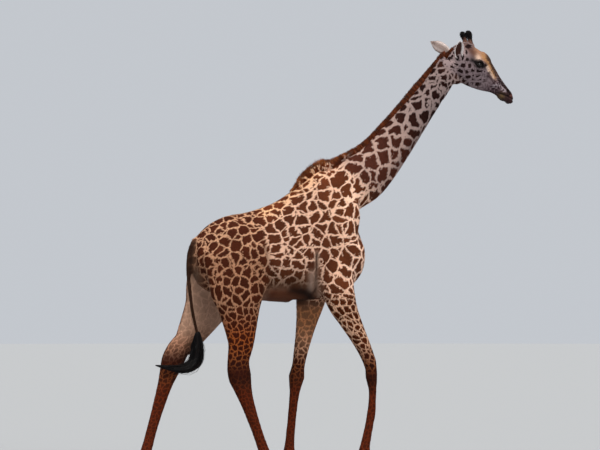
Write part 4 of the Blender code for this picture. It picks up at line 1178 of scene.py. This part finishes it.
def smooth_rows(rows, spots):
    """A smooth curve through rows at whole numbers, read at the spots."""
    rows = np.asarray(rows, float).reshape(len(rows), -1)
    cell_index = np.clip(spots.astype(int), 0, len(rows) - 2)
    part = (spots - cell_index)[:, None]
    before = rows[np.clip(cell_index - 1, 0, None)]
    after = rows[np.clip(cell_index + 2, None, len(rows) - 1)]
    here_row, next_row = rows[cell_index], rows[cell_index + 1]
    bend = 2 * before - 5 * here_row + 4 * next_row - after
    return here_row + 0.5 * part * (next_row - before + part * (
        bend + part * (3 * (here_row - next_row) + after - before)))


def route_frame(spots):
    """The middle of the tassel at each spot on its route, and the two ways square to its run there."""
    run = unit(smooth_rows(route, np.minimum(spots + RUN_STEP, len(route) - 1))
               - smooth_rows(route, np.maximum(spots - RUN_STEP, 0)))
    side = unit(np.cross(run, np.array((0.0, 1.0, 0.0))))
    return smooth_rows(route, spots), side, np.cross(run, side)


rng = np.random.default_rng(TASSEL_SEED)
count, steps = TASSEL_STRANDS, TASSEL_STEPS
first = rng.random(count) ** 1.6 * 2.6
length = 1.6 + rng.random(count) * 2.9
reach = np.minimum(first + length, len(route) - 1 - 0.02 * rng.random(count))
spots = first[:, None] + (reach - first)[:, None] * np.linspace(0, 1, steps)
middle, side, other = (rows.reshape(count, steps, 3) for rows in route_frame(spots.ravel()))
angle = rng.random(count) * 2 * math.pi
off = np.sqrt(rng.random(count)) * 0.93
stray = np.where(rng.random(count) < 0.14, rng.random(count), 0.0)
angles = angle[:, None] + rng.normal(0, 0.35, count)[:, None] * np.linspace(0, 1, steps)
outwards = off[:, None] * smooth_rows(TASSEL_HALF, spots.ravel()).reshape(count, steps)
outwards *= 0.25 + 0.75 * rise(spots - first[:, None], 0.0, 0.5)
outwards *= 1 + 0.55 * stray[:, None] * np.linspace(0, 1, steps) ** 2
wave = (0.09 + 0.12 * stray)[:, None] * np.sin(spots * 4 + rng.random(count)[:, None] * 6.3) * outwards
paths = middle + side * (outwards * np.cos(angles) + wave)[:, :, None]
paths += other * (outwards * np.sin(angles))[:, :, None]
wide = (0.0022 + 0.0030 * rng.random(count))[:, None] * np.linspace(1.0, 0.35, steps) ** 0.8
wide[:, -1] = 0
strands, size = strand_mesh("tassel_strands", paths, wide, 0.6, unit(rng.normal(0, 1, (count, 3))))
share = np.tile(np.append(np.repeat(np.linspace(0, 1, steps)[:-1], 3), 1.0), count)
give_roots(strands, {"lock": np.column_stack((share, per_vertex(rng.random(count), size), 0 * share))})

bpy.ops.object.select_all(action="DESELECT")
bpy.ops.mesh.primitive_cylinder_add(vertices=16, radius=1.0, depth=1.0, end_fill_type="TRIFAN")
tassel_core = bpy.context.object
tassel_core.name = "tassel_core"
bpy.ops.object.mode_set(mode="EDIT")
bpy.ops.mesh.select_all(action="DESELECT")
bpy.ops.object.mode_set(mode="OBJECT")
form = vertex_array(tassel_core)
upright = [abs(low - high) == 1 and abs(form[low, 2] - form[high, 2]) > 0.5
           for low, high in read_all(tassel_core.data.edges, "vertices", 2, np.int32)]
tassel_core.data.edges.foreach_set("select", upright)
bpy.ops.object.mode_set(mode="EDIT")
bpy.ops.mesh.select_mode(type="EDGE")
bpy.ops.mesh.subdivide(number_cuts=30)
bpy.ops.object.mode_set(mode="OBJECT")
form = vertex_array(tassel_core)
spots = np.clip((0.5 - form[:, 2]) * (len(route) - 1.15), 0, len(route) - 1)
middle, side, other = route_frame(spots)
half = 0.70 * smooth_rows(TASSEL_HALF, spots)[:, :1]
set_places(tassel_core, middle + side * form[:, :1] * half + other * form[:, 1:2] * half)
smoothed(tassel_core)
give_roots(tassel_core, {"lock": np.column_stack((0 * half, 0 * half + 0.3, 0 * half))})

tassel_finish, start, surface = finish("tassel_hair", 0.50, Specular_IOR_Level=0.12)
lock = stored(start, "lock")
jet = even_colour(start, 0.0035, 0.0030, 0.0034)
rusty = even_colour(start, 0.030, 0.013, 0.008)
rust = (lock.part(1) - 0.72) * 2.2 + (lock.part(0) - 0.8) * 0.8
link(jet.mixed(rusty, rust.clamped()), surface, "Base Color")
tassel = joined([strands, tassel_core])
tassel.name = "tail_tassel_hair"
tassel.data.materials.append(tassel_finish)
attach(tassel, "root")
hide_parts("tail_tassel")


# ---------------------------------------------------------------------------------------------------
# Coat: short hairs in tufts that overlap and follow the lie of the coat, from nose to tail. They stand
# out a little where the form breaks, are least on the face and feet, and take their root's colours.
TUFT_SEED = 5
TUFT_ROOT = 0.0006                                           # how far under the skin the tufts start
LEG_TOP, LEGS_MIDDLE = 1.45, -0.45                           # where the coats of the legs are parted off
BODY_TUFTS, LEG_TUFTS, FACE_TUFTS = 19000, 26000, 62000      # to the square metre


def triangle_corners(piece):
    """The vertices at the corners of each of a piece's triangles."""
    piece.data.calc_loop_triangles()
    return read_all(piece.data.loop_triangles, "vertices", 3, np.int32)


only(skin)
bpy.ops.object.mode_set(mode="EDIT")
bpy.ops.mesh.select_all(action="SELECT")
bpy.ops.uv.smart_project(angle_limit=math.radians(70), island_margin=0.001)
bpy.ops.object.mode_set(mode="OBJECT")
skin.data.uv_layers.active.name = "OFBake"
triangles = triangle_corners(skin)
corner_of = read_all(skin.data.loop_triangles, "loops", 3, np.int32)
flat_places = read_all(skin.data.uv_layers["OFBake"].data, "uv", 2)[corner_of]

# The lie of the coat: back from the nose, down the neck, back and down over the trunk, down the legs.
lie = np.tile((-0.88, 0.0, -0.48), (len(points), 1))
lie += (np.array((0.0, 0.0, -1.0)) - lie) * (1 - rise(z, 1.45, 1.95))[:, None]
lie += (-np.array(NECK_WAY) - 0.25 * np.array(CREST_WAY) - lie) * rise(neck_line, -0.25, 0.20)[:, None]
lie += (-HEAD_AXES[0] - lie) * rise(neck_line, 1.16, 1.32)[:, None]
for side, sign in SIGNS.items():
    lie += (np.array(EAR_TIPS[side]) - lie) * (on_ear * (y * sign > 0))[:, None]
lie += (np.array((0.0, 0.0, -1.0)) - lie) * on_tail[:, None]

# How long, wide and raised the tufts are at each place, and how close together they grow.
face = rise(neck_line, 1.24, 1.38)
snout = rise(ahead, 0.10, 0.30) * face
feet = 1 - rise(z, 0.15, 0.60)
limb = 1 - rise(z, 0.90, 1.50)
coronet = 1 - rise(z, hoof_top + 0.002, hoof_top + 0.020)
tuft_length = 0.0175 + (0.0125 - 0.0175) * limb + (0.0090 - 0.0125) * feet + 0.016 * coronet
tuft_length += (0.0078 - tuft_length) * face + 0.006 * on_ear * face - 0.0028 * snout
tuft_width = 0.0030 + (0.0024 - 0.0030) * limb + (0.0015 - 0.0030) * face - 0.0003 * snout
tuft_lift = (0.0024 + (0.0016 - 0.0024) * limb) * (1 - face) + (0.0011 - 0.0004 * snout) * face
fringe = stripe(((-0.20, 1.52), (-0.62, 1.56)), 0.05) * (1 - rise(abs(y), 0.10, 0.2))
fringe = np.clip(fringe + on_tail * rise(-z, -1.60, -1.35), 0.0, 1.0)
tuft_length *= 1 + 0.55 * fringe
tuft_lift *= 1 + 0.9 * fringe
crowd = BODY_TUFTS + (LEG_TUFTS - BODY_TUFTS) * limb
crowd = crowd + (FACE_TUFTS - crowd) * face
crowd = crowd * (1 - rise(lid_edge, -0.0045, -0.0025) * (off_eyes < EYE_REGION))
crowd = crowd * rise(z, hoof_top - 0.006, hoof_top + 0.006)

corners = points[triangles]
areas = np.linalg.norm(np.cross(corners[:, 1] - corners[:, 0], corners[:, 2] - corners[:, 0]), axis=1) / 2
totals = np.cumsum(areas * crowd[triangles].mean(axis=1))
rng = np.random.default_rng(TUFT_SEED)
count = int(totals[-1])
chosen = np.searchsorted(totals, (np.arange(count) + rng.random(count)) * totals[-1] / count)
chosen = np.minimum(chosen, len(triangles) - 1)
shares = rng.random((count, 2))
shares = np.where(shares.sum(axis=1, keepdims=True) > 1, 1 - shares, shares)
shares = np.column_stack((1 - shares.sum(axis=1), shares))


def at_roots(rows):
    """Values of the skin's vertices, read at the root of each tuft."""
    rows = np.asarray(rows, float)
    return np.einsum("ij,ij...->i...", shares, rows[triangles[chosen]])


root, root_normal, root_lie = at_roots(points), unit(at_roots(normals)), at_roots(lie)
way = unit(root_lie - root_normal * (root_lie * root_normal).sum(axis=1)[:, None])
swirl = np.sin(root[:, 0] * 23 + root[:, 2] * 17) * 0.10 + np.sin(root[:, 2] * 41 - root[:, 0] * 13) * 0.07
way = turned_about(way, root_normal, rng.normal(0, 0.17, count) + swirl)
length = at_roots(tuft_length) * (0.75 + 0.5 * rng.random(count))
lift = at_roots(tuft_lift) * (0.55 + 0.75 * rng.random(count))
wide = at_roots(tuft_width) * (0.7 + 0.6 * rng.random(count))
uv_root = np.einsum("ij,ijk->ik", shares, flat_places[chosen])
side = unit(np.cross(way, root_normal))
tips = root + way * length[:, None] + root_normal * lift[:, None]
paths = np.stack((root - root_normal * TUFT_ROOT, tips), axis=1)
widths = np.column_stack((wide, 0 * wide))
shade = 0.88 + 0.26 * rng.random(count)
tuft_row = np.column_stack((shade, rng.random(count), 0 * shade))
values = {"lattice": at_roots(lattice), "ground": at_roots(ground), "leaf": at_roots(leaf),
          "marking": at_roots(np.column_stack((leaf_share, gap, jag))), "outward": root_normal,
          "tuft": tuft_row}
of_head, of_legs = at_roots(on_head) > 0.5, root[:, 2] < LEG_TOP
of_neck = (at_roots(neck_line) > 0.12) & ~of_head
of_forelegs = of_legs & (root[:, 0] > LEGS_MIDDLE)
of_trunk = ~(of_head | of_neck | of_legs)
COATS = {
    "coat_head": of_head,
    "coat_neck": of_neck,
    "coat_right": of_trunk & (root[:, 1] < 0),
    "coat_left": of_trunk & (root[:, 1] >= 0),
    "coat_hindlegs": of_legs & ~of_forelegs,
    "coat_forelegs": of_forelegs,
}
for name, mine in COATS.items():
    coat, size = strand_mesh(name, paths[mine], widths[mine], 0.55, side[mine])
    give_roots(coat, {key: per_vertex(rows[mine], size) for key, rows in values.items()})
    patched(coat, uv_root[mine], 2)
    coat.data.materials.append(coat_finish)
    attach(coat, "root")


# ---------------------------------------------------------------------------------------------------
# Horn tufts: stiff black hairs that stand round the knob of each ossicone and lie down its stalk.
HORN_SEED, HORN_HAIRS = 17, 2600
rng = np.random.default_rng(HORN_SEED)
for side, horn in horns.items():
    faces = triangle_corners(horn)
    places, outwards = vertex_array(horn), normal_array(horn)
    low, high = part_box(f"ossicone_{side}")
    stalk = unit(np.array([[high.x - low.x, 0.0, high.z - low.z]]) * np.array([[-1.0, 1.0, 1.0]]))[0]
    picks = rng.integers(0, len(faces), HORN_HAIRS)
    spots, facing = places[faces[picks]].mean(axis=1), unit(outwards[faces[picks]].mean(axis=1))
    up = (spots[:, 2] - low.z) / (high.z - low.z)
    keep = rng.random(len(picks)) < 0.25 + 0.75 * rise(up, 0.35, 0.60)
    spots, facing, up = spots[keep], facing[keep], up[keep]
    knob = rise(up, 0.45, 0.70)[:, None]
    way = facing * (0.25 + 0.30 * knob) + stalk * (0.9 * knob - 0.5 * (1 - knob))
    way = unit(way + rng.normal(0, 0.16, (len(up), 3)))
    reach = (0.007 + 0.006 * knob[:, 0]) * (0.7 + 0.6 * rng.random(len(up)))
    path = np.stack((spots - facing * 0.0008, spots + way * reach[:, None]), axis=1)
    path[:, :, 2] = np.minimum(path[:, :, 2], high.z - 0.001)
    widths = np.column_stack((np.full(len(up), 0.0021), 0 * up))
    tuft, size = strand_mesh(f"ossicone_hair_{side}", path, widths, 0.7, unit(np.cross(way, facing)))
    give_roots(tuft, {"horn": per_vertex(np.column_stack((up, 0 * up, 0 * up)), size)})
    tuft.data.materials.append(horn_finish)
    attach(tuft, "root")


# ---------------------------------------------------------------------------------------------------
# Lashes: long, stiff and black, fanned along the rim of each upper lid to shade the eye, with a few
# short ones below.
LASH_SEED = 31
LASH_SHARES = np.array((0.0, 0.4, 0.75, 1.0))
rng = np.random.default_rng(LASH_SEED)
lash_sets = []
for side in SIGNS:
    gaze, slit, lid_up = eye_axes(side)
    for lid, lashes, reach in (("upper", 110, 0.019), ("lower", 40, 0.008)):
        sign = 1.0 if lid == "upper" else -1.0
        spots = np.linspace(-0.92, 0.86, lashes) + rng.normal(0, 0.01, lashes)
        off_slit = sign * (LID_HALF_HEIGHTS[lid] * (1 - spots ** 2) + 0.0012)
        sphere = np.outer(spots * LID_HALF_LENGTH, slit) + np.outer(off_slit, lid_up)
        inwards = np.sqrt(np.maximum(EYE_RADIUS ** 2 - (sphere ** 2).sum(axis=1), 0.0))
        rooted = unit(sphere + np.outer(inwards, gaze)) * (LID_RADIUS - 0.0006)
        out = unit(rooted / LID_RADIUS + gaze * 0.9 + np.outer(spots, slit) * 0.5)
        bend = np.outer(np.full(lashes, sign), lid_up)
        reaches = reach * (0.7 + 0.5 * rng.random(lashes)) * (1 - 0.35 * spots ** 2)
        path = np.array(eye_middle[side]) + rooted[:, None]
        path = path + out[:, None] * (reaches[:, None] * LASH_SHARES)[:, :, None]
        curl = 0.40 * LASH_SHARES ** 2 - 0.30 * LASH_SHARES
        path += bend[:, None] * (reaches[:, None] * curl)[:, :, None]
        wide = np.outer(np.full(lashes, 0.0011), (1.0, 0.8, 0.5, 0.0))
        lash, size = strand_mesh("lashes", path, wide, 0.8, np.tile(slit, (lashes, 1)))
        row = np.full(lashes, 0.1)
        give_roots(lash, {"lock": per_vertex(np.column_stack((0 * row, row, row)), size)})
        lash_sets.append(lash)
lashes = joined(lash_sets)
lashes.name = "lashes"
lashes.data.materials.append(tassel_finish)
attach(lashes, "root")


# ---------------------------------------------------------------------------------------------------
# Room: a plain pale floor that runs out to the horizon, two broad soft lights, one overhead and one from
# the left side, and a pale surround that fills the shadows. The camera stands far off at a person's height.
CAMERA_TURN = math.radians(20)
CAMERA_AWAY = 28.0
CAMERA_HEIGHT = 1.7
LOOK_AT = Vector((-0.281, 0.0, 2.13))
LENS, SENSOR_WIDTH = 204.9, 36.0
bpy.ops.mesh.primitive_circle_add(vertices=96, radius=60.0, fill_type="NGON", location=(0, 0, 0))
floor = bpy.context.object
floor.name = "floor"
floor_finish = bpy.data.materials.new("pale_floor")
floor_finish.use_nodes = True
floor_surface = floor_finish.node_tree.nodes["Principled BSDF"]
floor_surface.inputs["Base Color"].default_value = (0.34, 0.355, 0.375, 1.0)
floor_surface.inputs["Roughness"].default_value = 0.85
floor.data.materials.append(floor_finish)

surround = bpy.data.worlds.new("surround")
surround.use_nodes = True
background = surround.node_tree.nodes["Background"]
background.inputs["Color"].default_value = (0.83, 0.87, 0.93, 1.0)
background.inputs["Strength"].default_value = 0.66
bpy.context.scene.world = surround


def soft_light(name, way, strength, spread, tint):
    """Light as even as that of a large overhead screen: the same everywhere, with soft shadows."""
    bpy.ops.object.light_add(type="SUN", location=(0.0, 0.0, 8.0))
    light = bpy.context.object
    light.name = name
    light.data.energy = strength
    light.data.angle = math.radians(spread)
    light.data.color = tint
    light.rotation_euler = Vector(way).to_track_quat("-Z", "Y").to_euler()


soft_light("overhead", (0.25, 0.30, -1.0), 3.1, 28, (1.0, 0.94, 0.84))
soft_light("side", (-0.30, 1.0, -0.45), 1.35, 22, (1.0, 0.98, 0.96))

away = Vector((-math.sin(CAMERA_TURN), -math.cos(CAMERA_TURN), 0.0)) * CAMERA_AWAY
bpy.ops.object.camera_add(location=(LOOK_AT.x + away.x, LOOK_AT.y + away.y, CAMERA_HEIGHT))
camera = bpy.context.object
camera.rotation_euler = (LOOK_AT - camera.location).to_track_quat("-Z", "Y").to_euler()
camera.data.lens = LENS
camera.data.sensor_width = SENSOR_WIDTH
camera.data.clip_end = 300.0
bpy.context.scene.camera = camera
bpy.context.scene.view_settings.view_transform = "Standard"
